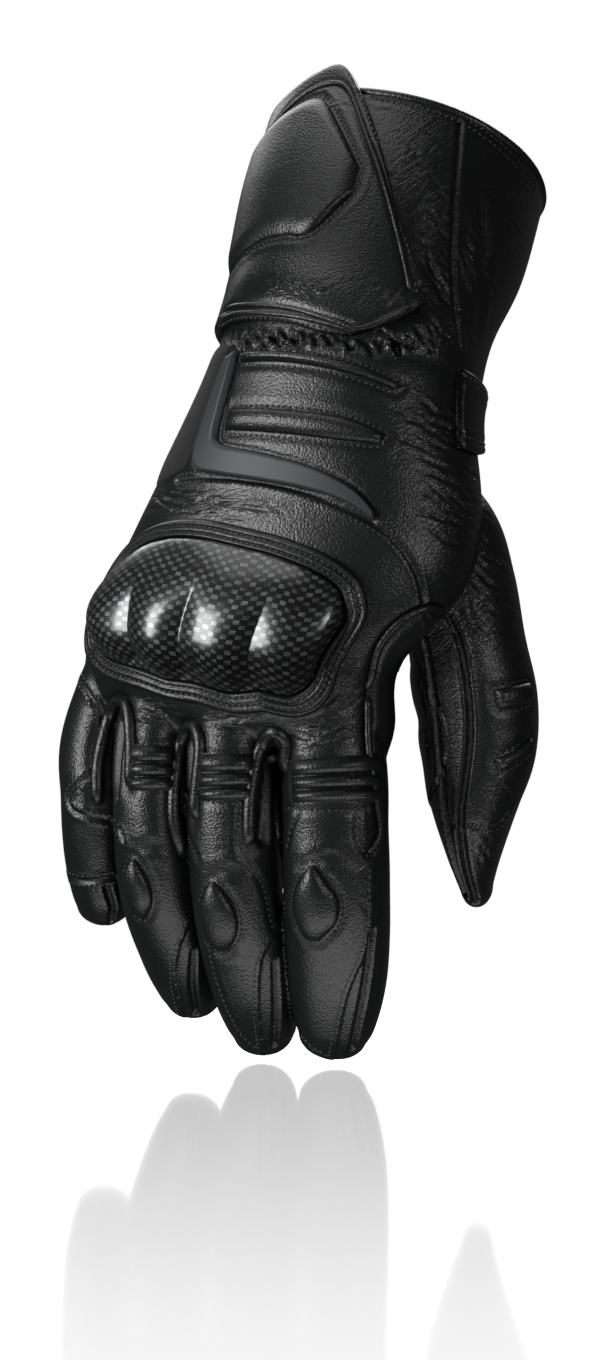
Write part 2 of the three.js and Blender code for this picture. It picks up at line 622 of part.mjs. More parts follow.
// The leather band that holds the guard down all round
const FRAME_WIDE = 6;
const guardStops = Array.from({ length: (GUARD.length - 1) * GUARD_STEPS + 1 }, (_, i) => i / GUARD_STEPS);
const guardEdge = [
  ...guardStops.map((u) => ({ row: column(GUARD, "row", u), turn: column(GUARD, "turn", u) })),
  ...guardStops.toReversed().map((u) => ({ row: column(GUARD, "endRow", u), turn: column(GUARD, "endTurn", u) })),
];
const frameInner = offsetOutline(sleeve, guardEdge, 2 * GAP);
const frameOuter = offsetOutline(sleeve, guardEdge, 2 * GAP + FRAME_WIDE);
const frameTable = frameInner.map(({ row, turn }, i) => ({
  row,
  turn,
  endRow: frameOuter[i].row,
  endTurn: frameOuter[i].turn,
}));
addPiece(
  "knuckle_frame",
  overlayBody(sleeve, {
    table: frameTable,
    steps: 1,
    spans: [0, 0.5, 1],
    height: (u, v) => 1.2 + 1.4 * rounded(v, 0.35),
    loop: true,
  }),
);

// Finger overlays: a ribbed stretch panel at the root and a drop-shaped pad past the first joint
const STRETCH_RIBS = 3;
const FINGER_OVERLAYS = {
  index: {
    stretch: { row: 0.95, endRow: 1.6, from: 136, to: 28 },
    pad: { row: 2.4, endRow: 3.35, middle: 110, half: 26 },
  },
  middle: {
    stretch: { row: 0.92, endRow: 1.55, from: 110, to: 40 },
    pad: { row: 2.55, endRow: 3.35, middle: 97, half: 26 },
  },
  ring: {
    stretch: { row: 0.95, endRow: 1.58, from: 90, to: 26 },
    pad: { row: 2.4, endRow: 3.15, middle: 88, half: 22 },
  },
};
for (const [finger, { stretch, pad }] of Object.entries(FINGER_OVERLAYS)) {
  const skin = digits[finger + "_finger"];
  const panel = [stretch.row, stretch.endRow].map((row) => ({
    row,
    turn: stretch.from,
    endRow: row,
    endTurn: stretch.to,
  }));
  const rib = (u, v) => 0.9 + 1.1 * Math.abs(Math.sin(Math.PI * STRETCH_RIBS * u)) * rounded(v, 0.2);
  addPiece(
    finger + "_stretch",
    overlayBody(skin, { table: panel, steps: 4 * STRETCH_RIBS, spans: [0, 0.25, 0.5, 0.75, 1], height: rib }),
  );
  const DROP = [0.12, 0.55, 0.9, 1, 0.8, 0.25]; // the drop's half width down its length
  const drop = DROP.map((share, i) => {
    const row = THREE.MathUtils.lerp(pad.row, pad.endRow, i / (DROP.length - 1));
    return { row, turn: pad.middle + pad.half * share, endRow: row, endTurn: pad.middle - pad.half * share };
  });
  const dome = (u, v) => 0.9 + 1.2 * rounded(v, 0.5) * rounded(u / (DROP.length - 1), 0.4);
  addPiece(finger + "_pad", overlayBody(skin, { table: drop, steps: 1, spans: [0, 0.3, 0.7, 1], height: dome }));
}

// The two short raised bars on the thumb
const THUMB_BARS = {
  thumb_bar_upper: [
    { row: 3.84, turn: 150, endRow: 4.12, endTurn: 149 },
    { row: 3.81, turn: 128, endRow: 4.12, endTurn: 128 },
    { row: 3.8, turn: 106, endRow: 4.1, endTurn: 106 },
  ],
  thumb_bar_lower: [
    { row: 5.08, turn: 152, endRow: 5.3, endTurn: 146 },
    { row: 4.92, turn: 130, endRow: 5.15, endTurn: 124 },
    { row: 4.72, turn: 108, endRow: 4.96, endTurn: 100 },
  ],
};
for (const [name, table] of Object.entries(THUMB_BARS)) {
  const height = (u, v) => 0.9 + 1.1 * rounded(v, 0.4) * rounded(u / (table.length - 1), 0.2);
  addPiece(name, overlayBody(digits.thumb, { table, steps: 2, spans: [0, 0.3, 0.7, 1], height }));
}

export default glove;
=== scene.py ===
"""A right-hand leather motorcycle glove with a long gauntlet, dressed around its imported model.

Shapes are worked out in millimetres and handed to Blender in metres. The leather is lofted through the
same named sections as the solids. Seams, stitches and creases that the photograph shows are drawn as
lines in its pixels and cast from its camera onto the leather, so they sit on the surface from any side.
"""

from __future__ import annotations

import logging
from dataclasses import dataclass, field, replace
from enum import Enum
from typing import Any, Callable, Iterable, Sequence

import bpy
import numpy as np
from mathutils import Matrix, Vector
from mathutils.bvhtree import BVHTree

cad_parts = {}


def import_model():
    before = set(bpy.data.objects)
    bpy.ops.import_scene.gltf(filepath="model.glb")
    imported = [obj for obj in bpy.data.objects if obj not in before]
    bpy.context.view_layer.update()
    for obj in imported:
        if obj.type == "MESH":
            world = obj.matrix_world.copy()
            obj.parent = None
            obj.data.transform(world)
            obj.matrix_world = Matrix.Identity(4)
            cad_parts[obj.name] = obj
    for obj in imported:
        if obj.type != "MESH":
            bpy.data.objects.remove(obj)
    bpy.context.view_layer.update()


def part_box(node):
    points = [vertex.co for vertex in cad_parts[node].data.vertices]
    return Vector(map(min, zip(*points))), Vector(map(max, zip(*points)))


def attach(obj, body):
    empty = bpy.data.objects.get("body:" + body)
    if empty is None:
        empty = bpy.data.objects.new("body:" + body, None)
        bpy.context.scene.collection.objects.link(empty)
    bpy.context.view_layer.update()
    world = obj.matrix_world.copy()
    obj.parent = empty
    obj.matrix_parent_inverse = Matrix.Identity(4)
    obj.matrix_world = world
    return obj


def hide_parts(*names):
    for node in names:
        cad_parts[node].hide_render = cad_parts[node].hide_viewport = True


logging.basicConfig(level=logging.INFO, format="%(message)s")
log = logging.getLogger("glove")

Pixel = tuple[float, float]

MM = 0.001  # metres in a millimetre
ROOT = "root"  # the one body of a part without joints
FACE_WAY = "face_way"  # a line's attribute: which way its surface faces
THICKNESS = "thickness"  # a line's attribute: how thick its cord is
CLOTH_MAP = "cloth"  # the map, in millimetres, that the carbon's weave follows
LEATHER_SLOT = "leather"
CARBON_SLOT = "carbon"
RUBBER_SLOT = "rubber"

# The photograph's size in pixels, and where its camera stood, in millimetres
PHOTO_WIDE = 607
PHOTO_HIGH = 1360
FOCAL_PIXELS = 2658.0
CAMERA_PLACE = (-11.9, -800.0, -81.9)
SENSOR = 36.0

# The glove, with lengths in millimetres and turns in degrees
WALL = 2.4
HAND_FACE = -25.0  # how far the back of the hand turns from the viewer
WRIST_ROW = 3.0  # the sleeve row where the cuff is sewn to the hand
KNUCKLE_CAP = 6.0
DIGIT_SQUARE = 2.2  # how full the corners of a digit's sections are
SEATED = -0.35  # how deep an overlay's foot sinks into what carries it
FINGER_SEAM_TURNS = (205.0, 335.0)  # where a digit's side seams run round it
FINGER_SEAM_START = 1.4  # the row where they come out of the hand
FINGER_SEAM_POINTS = 60

# How lines are drawn and leather is pressed
ROW_STEP = 0.1  # the part of a row over which a skin's direction is read
CORNER_STEPS = 24  # points drawn for each corner of a line, before it is spaced evenly
OUTLINE_STEPS = 8  # points of an overlay's outline to each of its lines
CAST_PITCH = 2.0  # pixels between the rays of a cast line
LINE_PITCH = 0.6  # millimetres between a cast line's points
LONGEST_STEP = 4.0  # a cast line parts where it leaps further than this
SHORTEST_RUN = 4  # and a part with fewer points is left out
CAST_WINDOW = 5  # neighbours that a cast line's points are averaged over
SEAT_WINDOW = 3  # and those of a seated line, once more
NORMAL_WINDOW = 7
SAME_SIDE = 0.2  # a line only presses leather that faces at least this much its own way
PAIRS_AT_ONCE = 2_000_000  # distances that are held in memory
FAR_HALF = 12.0  # how far past the glove's middle a viewer's slack places still reach
FAINTEST_SLACK = 0.05
CREASE_LIP = 0.4  # a crease's raised edges, by its depth
CREASE_ENDS = 0.7
CREASE_REACH = 3.5  # how far a crease is felt, by its width
STEEP_ANGLE = 45.0
SLACK_PER_DEPTH = 4.0  # how slack the leather is round creases one millimetre deep
CORD_BURIED = 1.8  # how deep a cord's ends lie, by its radius
CORD_SUNK = 0.3  # and the rest of it
CORD_END = 3.0  # millimetres over which it comes out

# How fine the meshes, the stitches and the cords are, with lengths in millimetres
POINT_SHARES = (0.55, 0.45)  # how much an overlay's points crowd to its edges, and stay even
SKIN_VOXEL = 0.56
SKIN_SMOOTHING = 8
SKIN_TRIANGLES = 150_000
LINING_VOXEL = 2.2
LINING_SMOOTHING = 2
ON_LINING = 0.05
CAP_ANGLES = np.arange(12, 85, 12)  # degrees from a cap's rim to each of its rings
STITCH_PITCH = 1.9
STITCH_SIZE = (1.5, 0.75, 0.8)
STITCH_BEAD = {"Segments": 6, "Rings": 4, "Radius": 0.5}
CORD_STEP = 0.9
CORD_SIDES = 10

# The sleeve from the cuff's mouth to the roots of the fingers, in millimetres and degrees: middle,
# half width, half depths, bend of the edges to the palm, corner fullness, roll and lean.
SLEEVE_COLUMNS = ("x", "y", "z", "wide", "back", "palm", "bow", "square", "roll", "lean")
SLEEVE_ROWS = (
    (21.4, 36.5, 80, 44.6, 37, 38, 0, 2.1, 11, 26),
    (14, 24.5, 54, 44.4, 36.5, 37, 0, 2.1, 11, 24),
    (6.3, 12.3, 29, 41.2, 32, 33, 0, 2.1, 9, 21),
    (1.6, 4, 13, 41.4, 29, 30, 1, 2.2, 8, 17),
    (-2.2, 0, 0, 43.4, 27, 28, 2, 2.2, 8, 12),
    (-8.6, -4, -25, 51.2, 23, 25, 4, 2.3, 8, 7),
    (-18.5, -6, -49, 54.5, 20, 22, 6, 2.4, 8, 2),
    (-33, -4, -71, 50.5, 20, 17, 8, 2.4, 9, -5),
    (-35.6, -1, -89, 52, 16, 15, 8, 2.4, 9, -8),
    (-36, 1, -98, 50.5, 12, 12, 7, 2.4, 9, -8),
)

# The main folds of a skin: row and turn of the middle, half lengths in rows and degrees, and depth
SLEEVE_FOLDS = (
    (1.3, 34, 0.9, 13, 1.8),
    (2.6, 36, 0.35, 16, -1.4),
    (3.1, 80, 0.2, 50, 1.2),
    (1.7, 300, 0.35, 30, 1.6),
    (2.6, 262, 0.3, 45, -1.4),
    (5.0, 285, 0.3, 30, 1.6),
    (6.6, 262, 0.4, 30, 1.5),
    (8.6, 74, 0.5, 9, 1.6),
    (8.6, 98, 0.5, 9, 1.6),
    (8.6, 122, 0.5, 9, 1.4),
)
DIGIT_FOLDS = (
    (1.3, 270, 0.3, 60, 1.2),
    (2.9, 270, 0.3, 60, 1.3),
    (4.3, 270, 0.3, 50, 0.9),
)

# The digits from the root, inside the hand, to the tip
DIGIT_COLUMNS = ("x", "y", "z", "wide", "back", "palm")
INDEX_ROWS = (
    (-6, -14, -68, 11, 10, 9),
    (-2.9, -13, -105.5, 15.6, 13.5, 13.5),
    (-2.3, -14, -126, 15.6, 13.2, 13.2),
    (-2, -11, -147, 16, 13.4, 12.8),
    (-1.6, -4, -169, 15, 12, 12),
    (-2.2, 2, -183, 12.8, 10.5, 11),
    (-2.9, 5.5, -189, 10.5, 9, 9),
)
MIDDLE_ROWS = (
    (-33.5, -5, -68, 11, 10, 9),
    (-33.3, -5, -106, 13.4, 13.2, 13),
    (-32.7, -6, -127, 13.6, 13, 13),
    (-31.3, -3, -149.5, 13.5, 13, 12.5),
    (-27.8, 5.5, -171, 13, 12, 12),
    (-24.9, 13, -184, 11.5, 10.5, 10.5),
    (-24, 16.5, -189.5, 9.5, 9, 9),
)
RING_ROWS = (
    (-54.5, 6, -66, 10, 9, 9),
    (-56.7, 6, -103, 12.3, 12.5, 12.5),
    (-56.6, 5, -124, 12.6, 12.4, 12.4),
    (-54.9, 9.5, -146, 12.8, 12.3, 12),
    (-50.5, 17.5, -164.5, 11.8, 11, 11),
    (-47.1, 24, -175.5, 10.5, 9.6, 9.8),
    (-45.9, 27, -180, 9, 8.2, 8.5),
)
LITTLE_ROWS = (
    (-66, 15, -66, 7.5, 8, 8),
    (-75, 22.5, -99, 11.3, 11.3, 11.3),
    (-75.6, 22, -118, 11.2, 11, 11),
    (-75.4, 25, -134.5, 11, 10.4, 10.4),
    (-74.4, 28, -147, 10, 9.2, 9.4),
    (-74.2, 30, -152, 8.5, 8, 8),
)
THUMB_ROWS = (
    (12, -6, -20, 11, 13, 11),
    (25.4, -1, -38, 15, 20.5, 15),
    (32, 3, -55, 17, 20.5, 16),
    (37, 3, -72.8, 16.5, 18.5, 18),
    (39.6, 3, -88, 15.5, 19.3, 18.3),
    (40.6, 4, -103, 15, 18, 17.3),
    (39.7, 5, -118, 14, 14, 13.5),
    (39.9, 7, -133.5, 12, 8.7, 8.2),
    (40.9, 9, -145, 8, 4.6, 4.4),
)
# The leather strip that closes the gap between the index and the middle finger
WEB_ROWS = (
    (-18.7, 1, -84, 4, 6, 6),
    (-18.7, -1, -110, 3.6, 5, 6),
    (-18.7, -1, -128, 3.4, 5, 6),
    (-18.4, 2, -142, 3, 4, 5),
)

# Overlays: each row is a line over a skin, from a row and turn to an end row and end turn
FLAP_LINES = (
    (2.1, 47, 2.25, 47),
    (1.85, 54, 2.55, 54),
    (1.55, 62, 2.78, 62),
    (1.25, 70, 2.97, 70),
    (0.85, 78, 3.08, 78),
    (0.4, 87, 3.08, 87),
    (0, 96, 3.0, 96),
    (-0.28, 106, 2.95, 106),
    (-0.22, 118, 2.92, 118),
    (-0.1, 132, 2.9, 132),
    (-0.04, 148, 2.88, 148),
    (-0.02, 164, 2.86, 164),
    (-0.02, 180, 2.88, 180),
    (-0.02, 198, 2.9, 198),
    (0, 216, 2.9, 216),
    (0.02, 232, 2.92, 232),
)
PAD_LINES = (
    (0.98, 86, 1.22, 86),
    (0.5, 98, 1.68, 98),
    (0.16, 110, 1.72, 110),
    (0.22, 124, 1.75, 124),
    (0.38, 140, 1.86, 140),
    (0.54, 154, 1.96, 154),
)
STRAP_LINES = (
    (3.05, 17, 4.4, 17),
    (3.02, 2, 4.38, 2),
    (3.0, -14, 4.3, -14),
    (3.02, -34, 4.25, -34),
    (3.05, -56, 4.2, -56),
    (3.08, -78, 4.15, -78),
    (3.12, -100, 4.1, -100),
    (3.16, -122, 4.05, -122),
    (3.25, -140, 3.95, -140),
    (3.45, -148, 3.8, -148),
)
UPPER_BAR_LINES = (
    (3.85, 49, 3.93, 52),
    (3.66, 70, 3.82, 71),
    (3.55, 95, 3.75, 95),
    (3.58, 121, 3.77, 120),
)
LOWER_BAR_LINES = (
    (4.46, 56, 4.56, 59),
    (4.36, 73, 4.58, 73),
    (4.35, 94, 4.59, 94),
    (4.38, 117, 4.6, 116),
)
BLADE_LINES = (
    (3.6, 129, 3.5, 124),
    (4.0, 131, 3.95, 123),
    (4.5, 130, 4.4, 121),
    (4.85, 128, 4.65, 119),
    (5.02, 123, 4.74, 115),
    (5.06, 112, 4.77, 108),
    (5.08, 100, 4.79, 99),
    (5.1, 88, 4.84, 88),
    (5.14, 77, 4.93, 77),
    (5.22, 67, 5.07, 67),
    (5.34, 59, 5.28, 59),
)
KNIT_LINES = (
    (3.3, 134, 5.0, 131),
    (3.2, 146, 5.15, 144),
    (3.2, 160, 5.2, 158),
    (3.2, 174, 5.2, 174),
    (3.25, 188, 5.1, 188),
    (3.4, 200, 4.9, 200),
)
GUARD_LINES = (
    (6.45, 54, 6.75, 53),
    (6.15, 63, 7.2, 53),
    (6.0, 73, 7.45, 61),
    (5.92, 82, 7.42, 71),
    (5.86, 90, 7.52, 81),
    (5.82, 99, 7.46, 90),
    (5.8, 109, 7.48, 97),
    (5.84, 121, 7.42, 106),
    (6.0, 135, 7.4, 116),
    (6.35, 147, 7.36, 126),
    (6.85, 147, 7.2, 138),
)
GUARD_GROOVES = (0.0, 3.2, 5.1, 7.1, 10.0)  # where the domes meet, in rows of the guard


def catmull(table: np.ndarray, at: np.ndarray) -> np.ndarray:
    """Reads a table at fractional rows, on a Catmull-Rom curve through them.

    Args:
        table: one value, or one row of values, for each whole row.
        at: the fractional rows to read.

    Returns:
        The values, one row for each entry of at.
    """
    ends = (2 * table[:1] - table[1:2], table, 2 * table[-1:] - table[-2:-1])
    padded = np.concatenate(ends)
    i = np.clip(np.floor(at).astype(int), 0, len(table) - 2)
    t = at - i
    if table.ndim > 1:
        t = t[:, None]
    a, b, c, d = (padded[i + k] for k in range(4))
    return b + 0.5 * t * (c - a + t * (2 * a - 5 * b + 4 * c - d + t * (3 * (b - c) + d - a)))


def unit(vectors: np.ndarray) -> np.ndarray:
    """Returns vectors of length one, along the last axis."""
    length = np.linalg.norm(vectors, axis=-1, keepdims=True)
    return vectors / np.maximum(length, 1e-12)


def rounded(share: np.ndarray, edge: float) -> np.ndarray:
    """A rise from 0 to 1 that rounds off near both ends.

    Args:
        share: where on the way from one end, 0, to the other, 1.
        edge: how much of the way each rounding takes.

    Returns:
        The height at each place, 0 to 1.
    """
    near = np.clip(np.minimum(share, 1 - share) / edge, 0, 1)
    return np.sqrt(1 - (1 - near) ** 2)


def smoothstep(value: np.ndarray, low: float, high: float) -> np.ndarray:
    """Returns 0 under low, 1 over high, and an S-curve between."""
    t = np.clip((value - low) / (high - low), 0, 1)
    return t * t * (3 - 2 * t)


@dataclass(frozen=True)
class Skin:
    """A skin lofted through named sections.

    turn is 0 at the thumb side, 90 on the back, 180 at the little-finger side and 270 on the palm.
    """

    columns: tuple[str, ...]
    rows: tuple[tuple[float, ...], ...]
    folds: tuple[tuple[float, ...], ...]
    face: float
    cap: float
    lift: float = 0.0

    @property
    def last(self) -> int:
        """The number of the last row."""
        return len(self.rows) - 1

    def column(self, name: str, row: np.ndarray) -> np.ndarray:
        """Returns one column of the table at fractional rows."""
        return catmull(np.array(self.rows, float)[:, self.columns.index(name)], row)

    def middle(self, row: np.ndarray) -> np.ndarray:
        """Returns the middles of the sections at fractional rows."""
        return np.stack([self.column(name, row) for name in "xyz"], -1)

    def axes(self, row: np.ndarray) -> tuple[np.ndarray, np.ndarray]:
        """Finds which way each section looks.

        Args:
            row: fractional rows.

        Returns:
            The directions across, to the thumb side, and deep, to the palm.
        """
        up = unit(self.middle(row - ROW_STEP) - self.middle(row + ROW_STEP))
        face = np.radians(self.face)
        flat = np.array([np.cos(face), np.sin(face), 0.0])
        across = unit(flat - up * (up @ flat)[:, None])
        return across, np.cross(up, across)

    def fold_depth(self, row: np.ndarray, turn: np.ndarray) -> np.ndarray:
        """Adds the main folds up.

        Args:
            row: fractional rows.
            turn: angles round each section, in degrees.

        Returns:
            How far the folds push the leather in at each place, in millimetres.
        """
        deep = np.zeros_like(row)
        for fold_row, fold_turn, rows, turns, fold_deep in self.folds:
            round_way = (turn - fold_turn + 180) % 360 - 180
            deep += fold_deep * np.exp(-(((row - fold_row) / rows) ** 2) - (round_way / turns) ** 2)
        return deep

    def shape(self, row: np.ndarray) -> tuple[np.ndarray, np.ndarray]:
        """Returns the sections' superellipse powers and edge bends."""
        return np.full_like(row, 2 / DIGIT_SQUARE), np.zeros_like(row)

    def at(self, row: Any, turn: Any, grow: Any = 0.0) -> np.ndarray:
        """Finds points of the skin.

        Args:
            row: fractional rows, from 0 at the start.
            turn: angles round each section, in degrees.
            grow: how far outside the leather's outer face, in millimetres.

        Returns:
            One point for each place, in millimetres, in the shape that the arguments broadcast to.
        """
        row, turn, grow = (np.asarray(a, float) for a in np.broadcast_arrays(row, turn, grow))
        form = row.shape
        row, turn, grow = row.ravel(), turn.ravel(), grow.ravel()
        across, deep = self.axes(row)
        cosine, sine = np.cos(np.radians(turn)), np.sin(np.radians(turn))
        power, bow = self.shape(row)
        out = grow + self.lift - self.fold_depth(row, turn)
        wide = self.column("wide", row) + out
        depth = np.where(sine > 0, self.column("back", row), self.column("palm", row)) + out
        share = np.sign(cosine) * np.abs(cosine) ** power
        sink = bow * share**2 - np.sign(sine) * np.abs(sine) ** power * depth
        points = self.middle(row) + across * (share * wide)[:, None] + deep * sink[:, None]
        return points.reshape(*form, 3)


class Sleeve(Skin):
    """The cuff's and the hand's skin, whose sections roll and lean."""

    def axes(self, row: np.ndarray) -> tuple[np.ndarray, np.ndarray]:
        """Finds which way each section looks, by its roll and its lean.

        Args:
            row: fractional rows.

        Returns:
            The directions across, to the thumb side, and deep, to the palm.
        """
        face = np.radians(self.face)
        roll, lean = np.radians(self.column("roll", row)), np.radians(self.column("lean", row))
        across = np.stack([np.cos(face) * np.cos(roll), np.sin(face) * np.cos(roll), -np.sin(roll)], -1)
        side, ahead = -np.sin(roll) * np.sin(lean), np.cos(lean)
        deep = np.stack(
            [
                np.cos(face) * side - np.sin(face) * ahead,
                np.sin(face) * side + np.cos(face) * ahead,
                -np.cos(roll) * np.sin(lean),
            ],
            -1,
        )
        return across, deep

    def shape(self, row: np.ndarray) -> tuple[np.ndarray, np.ndarray]:
        """Returns the sections' superellipse powers and edge bends."""
        return 2 / self.column("square", row), self.column("bow", row)


SLEEVE = Sleeve(SLEEVE_COLUMNS, SLEEVE_ROWS, SLEEVE_FOLDS, HAND_FACE, KNUCKLE_CAP)
INDEX = Skin(DIGIT_COLUMNS, INDEX_ROWS, DIGIT_FOLDS, -6.0, 7.0)
MIDDLE = Skin(DIGIT_COLUMNS, MIDDLE_ROWS, DIGIT_FOLDS, -22.0, 6.5)
RING = Skin(DIGIT_COLUMNS, RING_ROWS, DIGIT_FOLDS, -36.0, 6.0)
LITTLE = Skin(DIGIT_COLUMNS, LITTLE_ROWS, DIGIT_FOLDS, -50.0, 6.0)
THUMB = Skin(DIGIT_COLUMNS, THUMB_ROWS, DIGIT_FOLDS, 72.0, 6.0)
DIGITS = (INDEX, MIDDLE, RING, LITTLE, THUMB)
WEB = Skin(DIGIT_COLUMNS, WEB_ROWS, (), -12.0, 3.0)


@dataclass(frozen=True)
class Viewer:
    """Somebody who looks level at the glove and draws in the photograph's pixels.

    turned is how far they walk round it to the right, 0 at the photograph's camera.
    """

    turned: float = 0.0

    def stand(self) -> tuple[np.ndarray, np.ndarray, np.ndarray]:
        """Stands the viewer in front of the glove.

        Returns:
            The eye's place and its directions ahead and to the right.
        """
        turn = np.radians(self.turned)
        ahead = np.array([-np.sin(turn), np.cos(turn), 0.0])
        middle = np.array([CAMERA_PLACE[0], 0.0, CAMERA_PLACE[2]])
        return middle + ahead * CAMERA_PLACE[1], ahead, np.array([np.cos(turn), np.sin(turn), 0.0])

    def rays(self, pixels: np.ndarray) -> tuple[np.ndarray, np.ndarray]:
        """Looks through pixels.

        Args:
            pixels: the pixels, across and down.

        Returns:
            The eye's place in millimetres, and one direction for each pixel.
        """
        eye, ahead, right = self.stand()
        side = (pixels[:, :1] - PHOTO_WIDE / 2) / FOCAL_PIXELS
        drop = (pixels[:, 1:] - PHOTO_HIGH / 2) / FOCAL_PIXELS
        return eye, unit(ahead + right * side - np.array([0.0, 0.0, 1.0]) * drop)

    def seen(self, points: np.ndarray) -> tuple[np.ndarray, np.ndarray]:
        """Finds where points are in the picture.

        Args:
            points: the points, in millimetres.

        Returns:
            The pixel of each, and whether it is on the viewer's half of the glove.
        """
        eye, ahead, right = self.stand()
        away = points - eye
        depth = away @ ahead
        across = PHOTO_WIDE / 2 + FOCAL_PIXELS * (away @ right) / depth
        down = PHOTO_HIGH / 2 - FOCAL_PIXELS * away[:, 2] / depth
        return np.stack([across, down], -1), depth < -CAMERA_PLACE[1] + FAR_HALF


CAMERA_VIEW = Viewer()
PALM_VIEW = Viewer(turned=180.0)


@dataclass
class Path:
    """A line on a surface: its points and the surface's outward directions, in millimetres."""

    points: np.ndarray
    normals: np.ndarray

    def tangents(self) -> np.ndarray:
        """Returns the line's direction at each point."""
        return unit(np.gradient(self.points, axis=0))

    def sides(self) -> np.ndarray:
        """Returns the direction to the line's left, as the surface is looked at."""
        return unit(np.cross(self.normals, self.tangents()))

    def length(self) -> float:
        """Returns the line's length."""
        return float(np.linalg.norm(np.diff(self.points, axis=0), axis=1).sum())


def smooth_line(corners: Sequence[Sequence[float]], pitch: float, loop: bool = False) -> np.ndarray:
    """Draws a smooth line through a few corners.

    Args:
        corners: the points it passes.
        pitch: the distance between the points returned, in the corners' unit.
        loop: whether it runs back to its start.

    Returns:
        The line's points, evenly spaced.
    """
    table = np.array(corners, float)
    if loop:
        table = np.concatenate([table[-1:], table, table[:2]])
        at = np.linspace(1, len(table) - 2, CORNER_STEPS * len(table))
    else:
        at = np.linspace(0, len(table) - 1, CORNER_STEPS * len(table))
    return even_line(catmull(table, at), pitch)


def even_line(points: np.ndarray, pitch: float) -> np.ndarray:
    """Spaces a line's points evenly.

    Args:
        points: the line's points.
        pitch: about how far apart they shall be.

    Returns:
        The new points.
    """
    walked = np.concatenate([[0.0], np.cumsum(np.linalg.norm(np.diff(points, axis=0), axis=1))])
    count = max(int(walked[-1] / pitch), 2)
    stops = np.linspace(0, walked[-1], count + 1)
    return np.stack([np.interp(stops, walked, points[:, k]) for k in range(points.shape[1])], -1)


class Mark(Enum):
    """What a surface remembers at each point, for its finish to read."""

    RELIEF = "relief"  # how far the point was pressed in or raised, in millimetres
    SLACK = "slack"  # how loose and wrinkled the leather is, 0 to 1
    SLANT = "slant"  # whether those wrinkles run level, 0, or steeply aslant, 1


@dataclass(frozen=True)
class Groove:
    """The cross-section of a valley in the leather, which bulges on both sides of it."""

    deep: float
    wide: float
    lip: float = 0.0
    ends: float = 0.0  # how early it fades out towards both ends of its line

    def __call__(self, distance: np.ndarray, side: np.ndarray, share: np.ndarray) -> np.ndarray:
        """Shapes the leather near a line.

        Args:
            distance: how far each point is from the line.
            side: how far to the line's left it is; not used.
            share: how much of the line lies before it.

        Returns:
            The leather's offset at each point, outwards.
        """
        valley = -self.deep * np.exp(-((distance / self.wide) ** 2))
        bulge = self.lip * np.exp(-(((distance - 2 * self.wide) / self.wide) ** 2))
        return (valley + bulge) * np.sin(np.pi * np.clip(share, 0.001, 0.999)) ** self.ends


@dataclass(frozen=True)
class Lap:
    """The cross-section of a panel that lies over its neighbour on the line's left."""

    high: float
    fade: float
    ramp: tuple[float, float] = (-0.5, 0.4)
    foot: float = 0.3  # how deep the dip before the edge is, by its height
    foot_wide: float = 0.6

    def __call__(self, distance: np.ndarray, side: np.ndarray, share: np.ndarray) -> np.ndarray:
        """Shapes the leather near a line.

        Args:
            distance: how far each point is from the line.
            side: how far to the line's left it is.
            share: how much of the line lies before it; not used.

        Returns:
            The leather's offset at each point, outwards.
        """
        signed = distance * np.sign(side)
        step = smoothstep(signed, *self.ramp) * np.exp(-np.maximum(signed, 0) / self.fade)
        dip = np.exp(-(((signed + self.foot_wide) / self.foot_wide) ** 2))
        return self.high * (step - self.foot * dip)


@dataclass(frozen=True)
class Swell:
    """The height of a piece laid on leather: an edge, and a rise with rounded shoulders."""

    last: int  # the number of the piece's last line
    edge: float
    rise: float
    side_share: float
    end_share: float
    power: float = 1.0

    def __call__(self, u: np.ndarray, v: np.ndarray) -> np.ndarray:
        """Shapes the piece's top.

        Args:
            u: where along the piece's lines.
            v: the share of the way across.

        Returns:
            The height at each place.
        """
        shoulders = rounded(v, self.side_share) * rounded(u / self.last, self.end_share)
        return self.edge + self.rise * shoulders**self.power


def averaged(values: np.ndarray, window: int) -> np.ndarray:
    """Averages a line's points or directions with their neighbours'."""
    padded = np.pad(values, ((window // 2, window // 2), (0, 0)), mode="edge")
    return sum(padded[k : k + len(values)] for k in range(window)) / window


